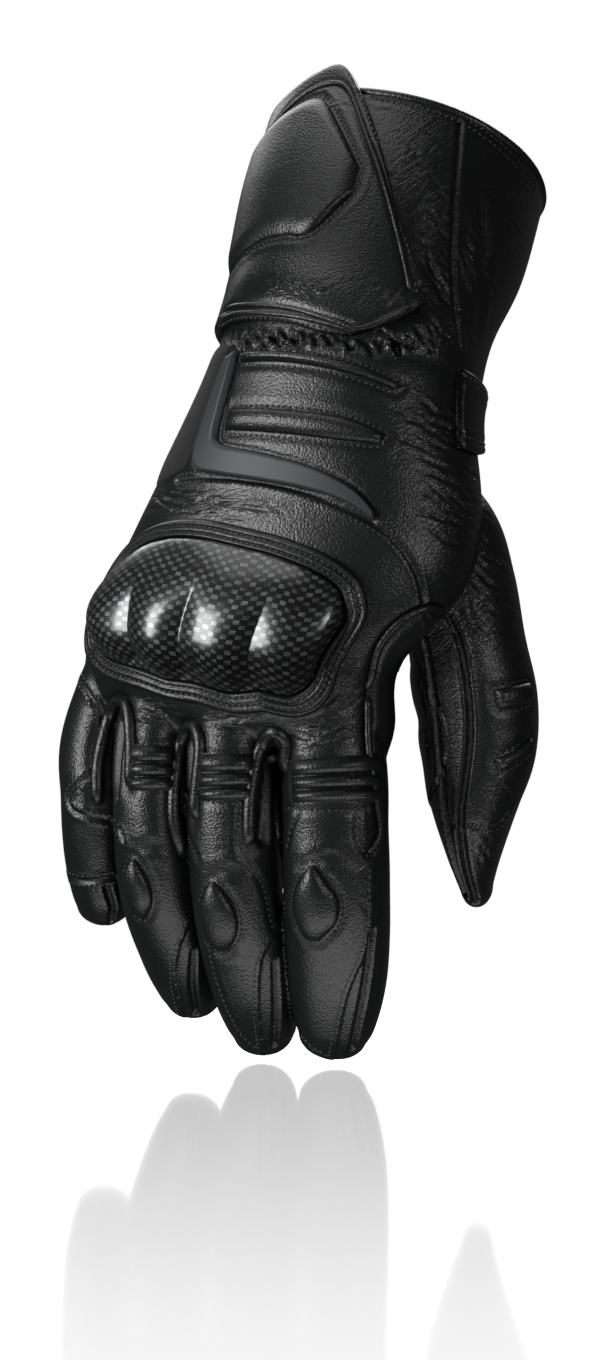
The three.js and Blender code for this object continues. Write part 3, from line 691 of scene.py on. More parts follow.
@dataclass
class Surface:
    """A triangle mesh in millimetres that lines are cast on and that can be pressed and folded."""

    points: np.ndarray
    triangles: np.ndarray
    marks: dict[str, np.ndarray] = field(default_factory=dict)
    pending: np.ndarray = field(default_factory=lambda: np.zeros(0))
    tree: BVHTree | None = None
    outward: np.ndarray | None = None

    def __post_init__(self) -> None:
        """Starts flat and taut."""
        self.pending = np.zeros(len(self.points))
        for mark in Mark:
            self.marks.setdefault(mark.value, np.zeros(len(self.points)))

    def normals(self) -> np.ndarray:
        """Works the normals out, once for each shape.

        Returns:
            The outward direction at each point.
        """
        if self.outward is not None:
            return self.outward
        a, b, c = (self.points[self.triangles[:, k]] for k in range(3))
        across = np.cross(b - a, c - a)
        total = np.zeros_like(self.points)
        for k in range(3):
            for axis in range(3):
                total[:, axis] += np.bincount(
                    self.triangles[:, k], across[:, axis], minlength=len(self.points)
                )
        self.outward = unit(total)
        return self.outward

    def lookup(self) -> BVHTree:
        """Returns the search tree over the present shape."""
        if self.tree is None:
            self.tree = BVHTree.FromPolygons(self.points.tolist(), self.triangles.tolist())
        return self.tree

    def cast(
        self, pixels: Sequence[Pixel], viewer: Viewer = CAMERA_VIEW, loop: bool = False
    ) -> list[Path]:
        """Draws a smooth line through a viewer's pixels and casts it onto the surface.

        Args:
            pixels: the line's corners, in the photograph's pixels.
            viewer: who draws it.
            loop: whether it closes.

        Returns:
            The line on the surface, in as many parts as it takes where it leaps or misses.
        """
        eye, ways = viewer.rays(smooth_line(pixels, CAST_PITCH, loop))
        hits = [self.lookup().ray_cast(Vector(eye), Vector(way))[0] for way in ways]
        points = np.array([hit for hit in hits if hit is not None]).reshape(-1, 3)
        jumps = np.linalg.norm(np.diff(points, axis=0), axis=1) > LONGEST_STEP
        runs = np.split(points, np.flatnonzero(jumps) + 1)
        return [self.seat(averaged(run, CAST_WINDOW)) for run in runs if len(run) >= SHORTEST_RUN]

    def seat(self, points: np.ndarray) -> Path:
        """Lays a line on the surface.

        Args:
            points: the line's points, near the surface.

        Returns:
            The line, evenly spaced, with each point at the nearest place on the surface.
        """
        hits = [self.lookup().find_nearest(Vector(point)) for point in even_line(points, LINE_PITCH)]
        seated = averaged(np.array([hit[0] for hit in hits]), SEAT_WINDOW)
        return Path(seated, unit(averaged(np.array([hit[1] for hit in hits]), NORMAL_WINDOW)))

    def press(self, path: Path, profile: Groove | Lap, reach: float) -> None:
        """Notes an offset of the surface near a line, for settle() to make.

        Args:
            path: the line.
            profile: the offset by distance from the line, side and share of the way along.
            reach: the distance past which nothing moves.
        """
        low, high = path.points.min(0) - reach, path.points.max(0) + reach
        near = np.flatnonzero(np.all((self.points > low) & (self.points < high), axis=1))
        sides, outward = path.sides(), self.normals()
        for part in np.array_split(near, max(len(near) * len(path.points) // PAIRS_AT_ONCE, 1)):
            if not len(part):
                continue
            here = self.points[part]
            squares = ((here[:, None, :] - path.points[None]) ** 2).sum(-1)
            nearest = squares.argmin(1)
            distance = np.sqrt(squares[np.arange(len(part)), nearest])
            facing = (outward[part] * path.normals[nearest]).sum(-1) > SAME_SIDE
            inside = (distance < reach) & facing
            part, nearest, distance = part[inside], nearest[inside], distance[inside]
            side = ((self.points[part] - path.points[nearest]) * sides[nearest]).sum(-1)
            share = nearest / (len(path.points) - 1)
            self.pending[part] += profile(distance, side, share)

    def settle(self) -> None:
        """Moves the points by what was noted, along the outward directions."""
        self.points = self.points + self.normals() * self.pending[:, None]
        self.marks[Mark.RELIEF.value] += self.pending
        self.pending = np.zeros(len(self.points))
        self.tree = None
        self.outward = None

    def loosen(self, middle: Pixel, reach: Pixel, loose: float, slant: float, viewer: Viewer) -> None:
        """Marks the leather as slack round a pixel.

        Args:
            middle: the pixel.
            reach: how far the slack goes across and down, in pixels.
            loose: how slack it is in the middle, 0 to 1.
            slant: whether the wrinkles there run level, 0, or steeply aslant, 1.
            viewer: whose pixel it is.
        """
        pixels, near = viewer.seen(self.points)
        away = (((pixels - middle) / reach) ** 2).sum(-1)
        amount = loose * np.exp(-away) * near
        slack, slants = self.marks[Mark.SLACK.value], self.marks[Mark.SLANT.value]
        slants += (slant - slants) * amount / np.maximum(slack + amount, FAINTEST_SLACK)
        np.maximum(slack, amount, out=slack)

    def inherit(self, source: Surface) -> None:
        """Takes the marks of another surface, from its nearest triangles.

        Args:
            source: the surface that this one was cut or thinned from.
        """
        tree = source.lookup()
        nearest = np.array([tree.find_nearest(Vector(point))[2] for point in self.points])
        for name, values in source.marks.items():
            self.marks[name] = values[source.triangles[nearest]].mean(1)


def merged(parts: Iterable[tuple[np.ndarray, np.ndarray]]) -> tuple[np.ndarray, np.ndarray]:
    """Puts several meshes together.

    Args:
        parts: the points and triangles of each.

    Returns:
        The points and triangles of all.
    """
    points, triangles, start = [], [], 0
    for part_points, part_triangles in parts:
        points.append(part_points)
        triangles.append(part_triangles + start)
        start += len(part_points)
    return np.concatenate(points), np.concatenate(triangles)


def grid_triangles(rows: int, across: int, loop_rows: bool, loop_across: bool) -> np.ndarray:
    """Lists the triangles of a grid of points.

    Args:
        rows: how many rows it has.
        across: how many points each row has.
        loop_rows: whether the last row joins the first.
        loop_across: whether each row closes on itself.

    Returns:
        Three numbers of points for each triangle, with the points counted row by row.
    """
    i = np.arange(rows if loop_rows else rows - 1)
    j = np.arange(across if loop_across else across - 1)
    i, j = (a.ravel() for a in np.meshgrid(i, j, indexing="ij"))
    after, right = (i + 1) % rows, (j + 1) % across
    a, b, c, d = i * across + j, i * across + right, after * across + right, after * across + j
    return np.concatenate([np.stack([a, c, b], -1), np.stack([a, d, c], -1)])


def fan(ring: np.ndarray, middle: int) -> np.ndarray:
    """Returns the triangles from a ring's points to a middle point."""
    return np.stack([ring, np.roll(ring, -1), np.full(len(ring), middle)], -1)


def facing_out(points: np.ndarray, triangles: np.ndarray) -> np.ndarray:
    """Turns a closed mesh's triangles round if they look inwards.

    Args:
        points: the mesh's points.
        triangles: its triangles.

    Returns:
        The triangles, which now look outwards.
    """
    a, b, c = (points[triangles[:, k]] for k in range(3))
    volume = (a * np.cross(b, c)).sum()
    return triangles if volume > 0 else triangles[:, ::-1]


def closed_body(
    skin: Skin, start: float, stop: float, steps: int, sides: int, grow: float
) -> tuple[np.ndarray, np.ndarray]:
    """Lofts a closed body along a skin, rounded off past its last row.

    Args:
        skin: the skin it follows.
        start: its first row.
        stop: its last row.
        steps: how many sections it has to a row.
        sides: how many points each section has.
        grow: how far it stands outside the skin.

    Returns:
        Its points and triangles.
    """
    rows = np.linspace(start, stop, int((stop - start) * steps) + 1)
    turns = np.linspace(0, 360, sides, endpoint=False)
    rings = list(skin.at(rows[:, None], turns[None], grow))
    foot = rings[-1]
    centre = foot.mean(0)
    across, deep = skin.axes(np.array([stop]))
    down = np.cross(deep[0], across[0])
    cap = skin.cap + grow
    for angle in np.radians(CAP_ANGLES):
        rings.append((foot - centre) * np.cos(angle) + centre + down * cap * np.sin(angle))
    points = np.concatenate([np.concatenate(rings), [rings[0].mean(0)], [centre + down * cap]])
    count = len(rings) * sides
    first, last = np.arange(sides), np.arange(sides) + count - sides
    triangles = np.concatenate(
        [
            grid_triangles(len(rings), sides, False, True),
            fan(first[::-1], count),
            fan(last, count + 1),
        ]
    )
    return points, facing_out(points, triangles)


def ring_surface(grid: np.ndarray) -> Surface:
    """Makes a surface that closes on itself both ways.

    Args:
        grid: its points, in rows.

    Returns:
        The surface.
    """
    triangles = grid_triangles(*grid.shape[:2], True, True)
    points = grid.reshape(-1, 3)
    return Surface(points, facing_out(points, triangles))


def linked_object(name: str, data: bpy.types.ID) -> bpy.types.Object:
    """Puts a new object in the scene.

    Args:
        name: its name.
        data: its mesh, lamp or camera.

    Returns:
        The object.
    """
    obj = bpy.data.objects.new(name, data)
    bpy.context.scene.collection.objects.link(obj)
    return obj


def plain_object(name: str, points: np.ndarray, triangles: np.ndarray) -> bpy.types.Object:
    """Makes a Blender object in the scene.

    Args:
        name: its name.
        points: its points, in millimetres.
        triangles: its triangles.

    Returns:
        The object, with its mesh in metres.
    """
    mesh = bpy.data.meshes.new(name)
    mesh.from_pydata((points * MM).tolist(), [], triangles.tolist())
    mesh.update()
    return linked_object(name, mesh)


def smoothed(mesh: bpy.types.Mesh) -> None:
    """Shades all of a mesh's faces smooth."""
    mesh.polygons.foreach_set("use_smooth", np.ones(len(mesh.polygons), bool))


def evaluated(obj: bpy.types.Object) -> bpy.types.Object:
    """Returns an object as its modifiers leave it."""
    return obj.evaluated_get(bpy.context.evaluated_depsgraph_get())


def evaluated_surface(obj: bpy.types.Object) -> Surface:
    """Reads an object with its modifiers as a surface.

    Args:
        obj: the object, which is removed.

    Returns:
        The surface.
    """
    shape = evaluated(obj)
    mesh = shape.to_mesh()
    mesh.calc_loop_triangles()
    points = np.empty(len(mesh.vertices) * 3)
    mesh.vertices.foreach_get("co", points)
    triangles = np.empty(len(mesh.loop_triangles) * 3, int)
    mesh.loop_triangles.foreach_get("vertices", triangles)
    shape.to_mesh_clear()
    bpy.data.objects.remove(obj, do_unlink=True)
    return Surface(points.reshape(-1, 3) / MM, triangles.reshape(-1, 3))


def fused(parts: Iterable[tuple[np.ndarray, np.ndarray]], voxel: float, smoothing: int) -> Surface:
    """Melts overlapping closed bodies into one skin.

    Args:
        parts: the bodies' points and triangles.
        voxel: the fineness of the skin, in millimetres.
        smoothing: how many times its joins are smoothed.

    Returns:
        The skin.
    """
    obj = plain_object("fused", *merged(parts))
    remesh = obj.modifiers.new("melt", "REMESH")
    remesh.mode = "VOXEL"
    remesh.voxel_size = voxel * MM
    smooth = obj.modifiers.new("smooth", "SMOOTH")
    smooth.factor = 0.5
    smooth.iterations = smoothing
    return evaluated_surface(obj)


def hollowed(outer: Surface, inner: Surface) -> tuple[Surface, np.ndarray]:
    """Cuts a body out of another.

    Args:
        outer: the body that is cut.
        inner: what is taken away.

    Returns:
        The wall that is left, and whether each of its triangles is on the inside.
    """
    body = plain_object("body", outer.points, outer.triangles)
    tool = plain_object("tool", inner.points, inner.triangles)
    cut = body.modifiers.new("hollow", "BOOLEAN")
    cut.operation = "DIFFERENCE"
    cut.solver = "MANIFOLD"
    cut.object = tool
    wall = evaluated_surface(body)
    bpy.data.objects.remove(tool, do_unlink=True)
    middles = wall.points[wall.triangles].mean(1)
    tree = inner.lookup()
    inside = np.array([tree.find_nearest(Vector(m))[3] < ON_LINING for m in middles])
    wall.inherit(outer)
    return wall, inside


@dataclass
class Overlay:
    """A piece laid on a skin, ruled between two edges, with a rounded top."""

    skin: Skin
    lines: tuple[tuple[float, ...], ...]
    height: Callable[[np.ndarray, np.ndarray], np.ndarray]
    steps: int = 12
    spans: int = 40
    foot: float = SEATED
    loop: bool = False

    def surface(self) -> tuple[Surface, np.ndarray]:
        """Builds the piece.

        Returns:
            Its surface, and a map coordinate in millimetres for each point.
        """
        table = np.array(self.lines, float)
        if self.loop:
            table = np.concatenate([table[-1:], table, table[:2]])
            rows = np.linspace(1, len(table) - 2, (len(table) - 3) * self.steps + 1)[:-1]
            shown = rows - 1
        else:
            rows = np.linspace(0, len(table) - 1, (len(table) - 1) * self.steps + 1)
            shown = rows
        row, turn, end_row, end_turn = catmull(table, rows).T[:, :, None]
        spread = 0.5 - 0.5 * np.cos(np.pi * np.linspace(0, 1, self.spans + 1))
        even = np.linspace(0, 1, self.spans + 1)
        crowded, kept_even = POINT_SHARES
        v = (crowded * spread + kept_even * even)[None]
        at_row, at_turn = row + (end_row - row) * v, turn + (end_turn - turn) * v
        high = self.height(shown[:, None] + 0 * v, v + 0 * row)
        top = self.skin.at(at_row, at_turn, high)
        coarse = [0, self.spans // 3, 2 * self.spans // 3, self.spans]
        foot = self.skin.at(at_row[:, coarse], at_turn[:, coarse], self.foot)
        rings = np.concatenate([top, foot[:, ::-1]], axis=1)
        across = rings.shape[1]
        triangles = [grid_triangles(len(rings), across, self.loop, True)]
        points = rings.reshape(-1, 3)
        if not self.loop:
            for end in (0, len(rings) - 1):
                ring = np.arange(across) + end * across
                middle = len(points)
                points = np.concatenate([points, self.end_middle(rings[end])[None]])
                triangles.append(fan(ring if end else ring[::-1], middle))
        faces = np.concatenate(triangles)
        along = np.linalg.norm(np.diff(top.mean(1), axis=0), axis=1)
        if self.loop:
            along = along[: len(rows) - 1]
        u_mm = np.concatenate([[0.0], np.cumsum(along)])[:, None] + 0 * v
        steps_mm = np.linalg.norm(np.diff(top, axis=1), axis=-1)
        v_mm = np.concatenate([np.zeros((len(rings), 1)), np.cumsum(steps_mm, axis=1)], axis=1)
        v_mm -= v_mm[:, self.spans // 2][:, None]
        flat = np.zeros((len(points), 2))
        ring_map = np.stack([u_mm, v_mm], -1)
        back = ring_map[:, coarse][:, ::-1]
        flat[: rings.shape[0] * across] = np.concatenate([ring_map, back], axis=1).reshape(-1, 2)
        return Surface(points, facing_out(points, faces)), flat

    def outline(self, distance: float, spacing: float = 1.2) -> np.ndarray:
        """Draws a line on the skin all round the piece.

        Args:
            distance: how far outside the piece's edge it runs.
            spacing: the distance between its points.

        Returns:
            The line's points.
        """
        table = np.array(self.lines, float)
        rows = np.linspace(0, len(table) - 1, (len(table) - 1) * OUTLINE_STEPS + 1)
        row, turn, end_row, end_turn = catmull(table, rows).T
        share = np.linspace(0, 1, OUTLINE_STEPS + 1)[1:-1]
        ends = []
        for k in (-1, 0):
            at_row = row[k] + (end_row[k] - row[k]) * share
            at_turn = turn[k] + (end_turn[k] - turn[k]) * share
            ends.append(np.stack([at_row, at_turn], -1))
        far = np.stack([end_row, end_turn], -1)[::-1]
        near = np.stack([row, turn], -1)
        places = np.concatenate([near, ends[0], far, ends[1][::-1]])
        ring = self.skin.at(places[:, 0], places[:, 1])
        ring = smooth_line(ring[::2], spacing, loop=True)
        middle = ring.mean(0)
        along = unit(np.roll(ring, -2, 0) - np.roll(ring, 2, 0))
        up = unit(np.cross(ring - middle, along).mean(0))
        out = unit(np.cross(along, up))
        return ring + out * distance

    @staticmethod
    def end_middle(ring: np.ndarray) -> np.ndarray:
        """Finds the middle of an end.

        Args:
            ring: the end's points, first over the top and then back under the foot.

        Returns:
            A point in the wall's thickness.
        """
        half = (len(ring) - 4) // 2
        return 0.5 * (ring[half] + ring[-2] * 0.5 + ring[-3] * 0.5)


@dataclass(frozen=True)
class Seam:
    """What one kind of seam does to the leather, and the thread or cord that shows on it."""

    profile: Groove | Lap | None = None
    reach: float = 3.0
    threads: tuple[float, ...] = ()
    cord: float = 0.0


TOPSTITCH = Seam(Groove(0.3, 1.1, 0.1), 3.5, (0.0,))
TWIN = Seam(Groove(0.55, 0.8, 0.25), 4.0, (-1.6, 1.6))
TUCK = Seam(Groove(1.5, 0.9, 0.35), 4.5)
THIN_TUCK = Seam(Groove(0.9, 0.8, 0.12), 4.0)
ROLL = Seam(Groove(1.3, 1.7), 5.0, cord=1.3)
THICK_ROLL = Seam(Groove(1.1, 2.8), 7.0, cord=2.2)
RECESS = Seam(Groove(2.6, 2.3), 7.0)
WELT = Seam(Groove(0.6, 1.3), 4.0, cord=0.8)
LAP = Seam(Lap(0.6, 3.0), 9.0, (1.6,))
STEP = Seam(Lap(0.7, 6.0), 18.0)
FOLD = Seam(Groove(0.3, 1.8, 0.2, 0.5), 6.5)
PUFF = Seam(Groove(-1.1, 8.0, 0.0, 0.9), 20.0)
INLAY = Seam(Groove(0.6, 0.8))
THREAD_ONLY = Seam(threads=(0.0,))


@dataclass(frozen=True)
class Line:
    """A seam drawn in the pixels of the photograph, or of somebody who stands elsewhere."""

    seam: Seam
    corners: tuple[Pixel, ...]
    viewer: Viewer = CAMERA_VIEW
    loop: bool = False


@dataclass(frozen=True)
class Creases:
    """Short creases that run about the same way in one slack place."""

    middle: Pixel
    reach: Pixel
    angle: float
    length: float
    count: int
    deep: float
    wide: float = 0.65
    viewer: Viewer = CAMERA_VIEW
    scatter: float = 0.5
    sway: float = 9.0  # degrees
    lengths: tuple[float, float] = (0.5, 1.3)
    bend: float = 0.12
    wobble: float = 0.03
    corners: tuple[float, ...] = (-1.0, -0.4, 0.3, 1.0)

    def strokes(self, random: np.random.Generator) -> list[np.ndarray]:
        """Draws the creases.

        Args:
            random: where their chance comes from.

        Returns:
            A few corners in pixels for each.
        """
        drawn = []
        corners = np.array(self.corners)
        for _ in range(self.count):
            middle = np.array(self.middle) + random.normal(0, self.scatter, 2) * self.reach
            angle = np.radians(self.angle + random.normal(0, self.sway))
            ahead = np.array([np.cos(angle), np.sin(angle)])
            aside = np.array([-ahead[1], ahead[0]])
            half = 0.5 * self.length * random.uniform(*self.lengths)
            bend = random.normal(0, self.bend) * half
            wave = bend * (1 - corners**2) + random.normal(0, self.wobble, len(corners)) * half
            drawn.append(middle + np.outer(corners * half, ahead) + np.outer(wave, aside))
        return drawn


@dataclass
class Tailor:
    """Sews seams into a surface, folds it, and keeps the lines for the thread and the cords."""

    surface: Surface
    sewn: list[tuple[Path, Seam]] = field(default_factory=list)

    def sew(self, path: Path, seam: Seam) -> None:
        """Presses a seam in and keeps its line.

        Args:
            path: a line that lies on the surface.
            seam: what is sewn along it.
        """
        if seam.profile is not None:
            self.surface.press(path, seam.profile, seam.reach)
        self.sewn.append((path, seam))

    def sew_all(self, lines: Iterable[Line]) -> None:
        """Casts lines onto the surface and sews them."""
        for line in lines:
            for path in self.surface.cast(line.corners, line.viewer, line.loop):
                self.sew(path, line.seam)

    def crease(self, places: Iterable[Creases], seed: int) -> None:
        """Presses short creases in and marks the leather round them as slack.

        Args:
            places: where the creases are and how they run.
            seed: the seed of their random lengths and turns.
        """
        random = np.random.default_rng(seed)
        for place in places:
            shape = Groove(place.deep, place.wide, CREASE_LIP * place.deep, CREASE_ENDS)
            for stroke in place.strokes(random):
                for path in self.surface.cast(stroke, place.viewer):
                    self.surface.press(path, shape, CREASE_REACH * place.wide)
            slant = min(abs(place.angle) / STEEP_ANGLE, 1.0)
            loose = min(SLACK_PER_DEPTH * place.deep, 1)
            self.surface.loosen(place.middle, place.reach, loose, slant, place.viewer)

    def threads(self) -> list[Path]:
        """Returns the lines of thread, seated on the pressed surface."""
        return [
            self.surface.seat(averaged(path.points + path.sides() * side, NORMAL_WINDOW))
            for path, seam in self.sewn
            for side in seam.threads
        ]

    def cords(self) -> list[tuple[Path, float]]:
        """Lays the rolled seams' cords, sunk a little, with buried ends.

        Returns:
            Their lines and radii.
        """
        laid = []
        for path, seam in self.sewn:
            if seam.cord:
                share = np.linspace(0, 1, len(path.points))
                out = np.clip(np.minimum(share, 1 - share) * path.length() / CORD_END, 0, 1)
                lift = seam.cord * ((CORD_BURIED - CORD_SUNK) * out - CORD_BURIED)
                points = path.points + path.normals * lift[:, None]
                laid.append((Path(averaged(points, CAST_WINDOW), path.normals), seam.cord))
        return laid


def srgb(value: str) -> tuple[float, float, float, float]:
    """Turns a colour linear, as Blender reads it.

    Args:
        value: the colour, like #a1b2c3.

    Returns:
        Its red, green, blue and alpha.
    """
    parts = [int(value[k : k + 2], 16) / 255 for k in (1, 3, 5)]
    linear = [c / 12.92 if c <= 0.04045 else ((c + 0.055) / 1.055) ** 2.4 for c in parts]
    return (linear[0], linear[1], linear[2], 1.0)


def add_node(
    tree: bpy.types.NodeTree,
    kind: str,
    settings: dict[str, Any] | None = None,
    inputs: dict[Any, Any] | None = None,
) -> bpy.types.Node:
    """Adds a node with its settings and links.

    Args:
        tree: where it goes.
        kind: Blender's name for its type.
        settings: its own properties.
        inputs: by socket name or number, a value, an output socket to link, or a node whose first
            output in use is linked.

    Returns:
        The node.
    """
    node = tree.nodes.new(kind)
    for name, value in (settings or {}).items():
        setattr(node, name, value)
    for name, value in (inputs or {}).items():
        if isinstance(value, bpy.types.Node):
            value = next(socket for socket in value.outputs if socket.enabled)
        if isinstance(value, bpy.types.NodeSocket):
            tree.links.new(value, node.inputs[name])
        else:
            node.inputs[name].default_value = value
    return node


def new_tree(
    name: str, sockets: dict[str, str]
) -> tuple[bpy.types.NodeTree, bpy.types.Node, dict[str, str]]:
    """Starts a geometry node tree.

    Args:
        name: its name.
        sockets: the names and types of its inputs, past the geometry.

    Returns:
        The tree, its input node and the identifier of each named input.
    """
    tree = bpy.data.node_groups.new(name, "GeometryNodeTree")
    for way in ("INPUT", "OUTPUT"):
        tree.interface.new_socket("Geometry", in_out=way, socket_type="NodeSocketGeometry")
    keys = {
        title: tree.interface.new_socket(title, in_out="INPUT", socket_type=kind).identifier
        for title, kind in sockets.items()
    }
    return tree, add_node(tree, "NodeGroupInput"), keys


def close_tree(tree: bpy.types.NodeTree, geometry: bpy.types.Node, dye: bpy.types.NodeSocket) -> None:
    """Ends a geometry node tree with real geometry in one material.

    Args:
        tree: the tree.
        geometry: the node whose geometry it gives.
        dye: the socket of the material.
    """
    real = add_node(tree, "GeometryNodeRealizeInstances", inputs={"Geometry": geometry})
    dyed = add_node(tree, "GeometryNodeSetMaterial", inputs={"Geometry": real, "Material": dye})
    add_node(tree, "NodeGroupOutput", inputs={"Geometry": dyed})


@dataclass(frozen=True)
class LineWork:
    """Thread or cord that a node tree makes along lines."""

    tree: bpy.types.NodeTree
    keys: dict[str, str]
    values: dict[str, Any]

    @classmethod
    def stitches(cls, thread: bpy.types.Material) -> LineWork:
        """Makes lockstitches: one low capsule for each, lying along the line on the leather.

        Args:
            thread: the thread's finish.

        Returns:
            The work, ready to be made along lines.
        """
        sockets = {
            "Pitch": "NodeSocketFloat",
            "Size": "NodeSocketVector",
            "Thread": "NodeSocketMaterial",
        }
        tree, start, keys = new_tree("lockstitch", sockets)
        curve = add_node(tree, "GeometryNodeMeshToCurve", inputs={"Mesh": start})
        spots = add_node(
            tree,
            "GeometryNodeCurveToPoints",
            {"mode": "LENGTH"},
            {"Curve": curve, "Length": start.outputs["Pitch"]},
        )
        named = {"data_type": "FLOAT_VECTOR"}
        way = add_node(tree, "GeometryNodeInputNamedAttribute", named, {"Name": FACE_WAY})
        upright = add_node(tree, "FunctionNodeAlignRotationToVector", {"axis": "Z"}, {"Vector": way})
        along = add_node(
            tree,
            "FunctionNodeAlignRotationToVector",
            {"axis": "X", "pivot_axis": "Z"},
            {"Rotation": upright, "Vector": spots.outputs["Tangent"]},
        )
        bead = add_node(tree, "GeometryNodeMeshUVSphere", inputs=STITCH_BEAD)
        placed = add_node(
            tree,
            "GeometryNodeInstanceOnPoints",
            inputs={
                "Points": spots,
                "Instance": bead,
                "Rotation": along,
                "Scale": start.outputs["Size"],
            },
        )
        close_tree(tree, placed, start.outputs["Thread"])
        size = tuple(side * MM for side in STITCH_SIZE)
        return cls(tree, keys, {"Pitch": STITCH_PITCH * MM, "Size": size, "Thread": thread})

    @classmethod
    def cords(cls, leather: bpy.types.Material) -> LineWork:
        """Makes the leather-covered cords of rolled seams.

        Args:
            leather: the leather's finish.

        Returns:
            The work, ready to be made along lines.
        """
        sockets = {"Step": "NodeSocketFloat", "Leather": "NodeSocketMaterial"}
        tree, start, keys = new_tree("rolled_cord", sockets)
        curve = add_node(tree, "GeometryNodeMeshToCurve", inputs={"Mesh": start})
        even = add_node(
            tree,
            "GeometryNodeResampleCurve",
            {"mode": "LENGTH"},
            {"Curve": curve, "Length": start.outputs["Step"]},
        )
        named = {"data_type": "FLOAT"}
        thick = add_node(tree, "GeometryNodeInputNamedAttribute", named, {"Name": THICKNESS})
        round_form = {"Resolution": CORD_SIDES, "Radius": 1.0}
        ring = add_node(tree, "GeometryNodeCurvePrimitiveCircle", inputs=round_form)
        tube = add_node(
            tree,
            "GeometryNodeCurveToMesh",
            inputs={"Curve": even, "Profile Curve": ring, "Scale": thick, "Fill Caps": True},
        )
        close_tree(tree, tube, start.outputs["Leather"])
        return cls(tree, keys, {"Step": CORD_STEP * MM, "Leather": leather})

    def make(self, name: str, lines: Sequence[tuple[Path, float]]) -> bpy.types.Object:
        """Makes the work along lines as one plain mesh object.

        Args:
            name: the object's name.
            lines: the lines and their thickness in millimetres.

        Returns:
            The object.
        """
        points = np.concatenate([path.points for path, _ in lines])
        ways = np.concatenate([path.normals for path, _ in lines])
        thick = np.concatenate([np.full(len(path.points), wide * MM) for path, wide in lines])
        starts = np.cumsum([0] + [len(path.points) for path, _ in lines])
        edges = [
            (k, k + 1) for start, stop in zip(starts, starts[1:]) for k in range(start, stop - 1)
        ]
        mesh = bpy.data.meshes.new(name)
        mesh.from_pydata((points * MM).tolist(), edges, [])
        layer = mesh.attributes.new(FACE_WAY, "FLOAT_VECTOR", "POINT")
        layer.data.foreach_set("vector", ways.astype(np.float32).ravel())
        layer = mesh.attributes.new(THICKNESS, "FLOAT", "POINT")
        layer.data.foreach_set("value", thick.astype(np.float32))
        obj = linked_object(name, mesh)
        modifier = obj.modifiers.new("work", "NODES")
        modifier.node_group = self.tree
        for title, value in self.values.items():
            modifier[self.keys[title]] = value
        done = bpy.data.meshes.new_from_object(evaluated(obj))
        obj.modifiers.clear()
        obj.data = done
        smoothed(done)
        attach(obj, ROOT)
        log.info("%s: %d faces along %d lines", name, len(done.polygons), len(lines))
        return obj


def new_material(name: str) -> tuple[bpy.types.Material, bpy.types.NodeTree]:
    """Makes an empty node material.

    Args:
        name: its name.

    Returns:
        The material and its tree.
    """
    material = bpy.data.materials.new(name)
    material.use_nodes = True
    material.node_tree.nodes.clear()
    return material, material.node_tree


def finish_material(tree: bpy.types.NodeTree, inputs: dict[str, Any]) -> None:
    """Ends a material with one surface shader."""
    shader = add_node(tree, "ShaderNodeBsdfPrincipled", inputs=inputs)
    add_node(tree, "ShaderNodeOutputMaterial", inputs={"Surface": shader})


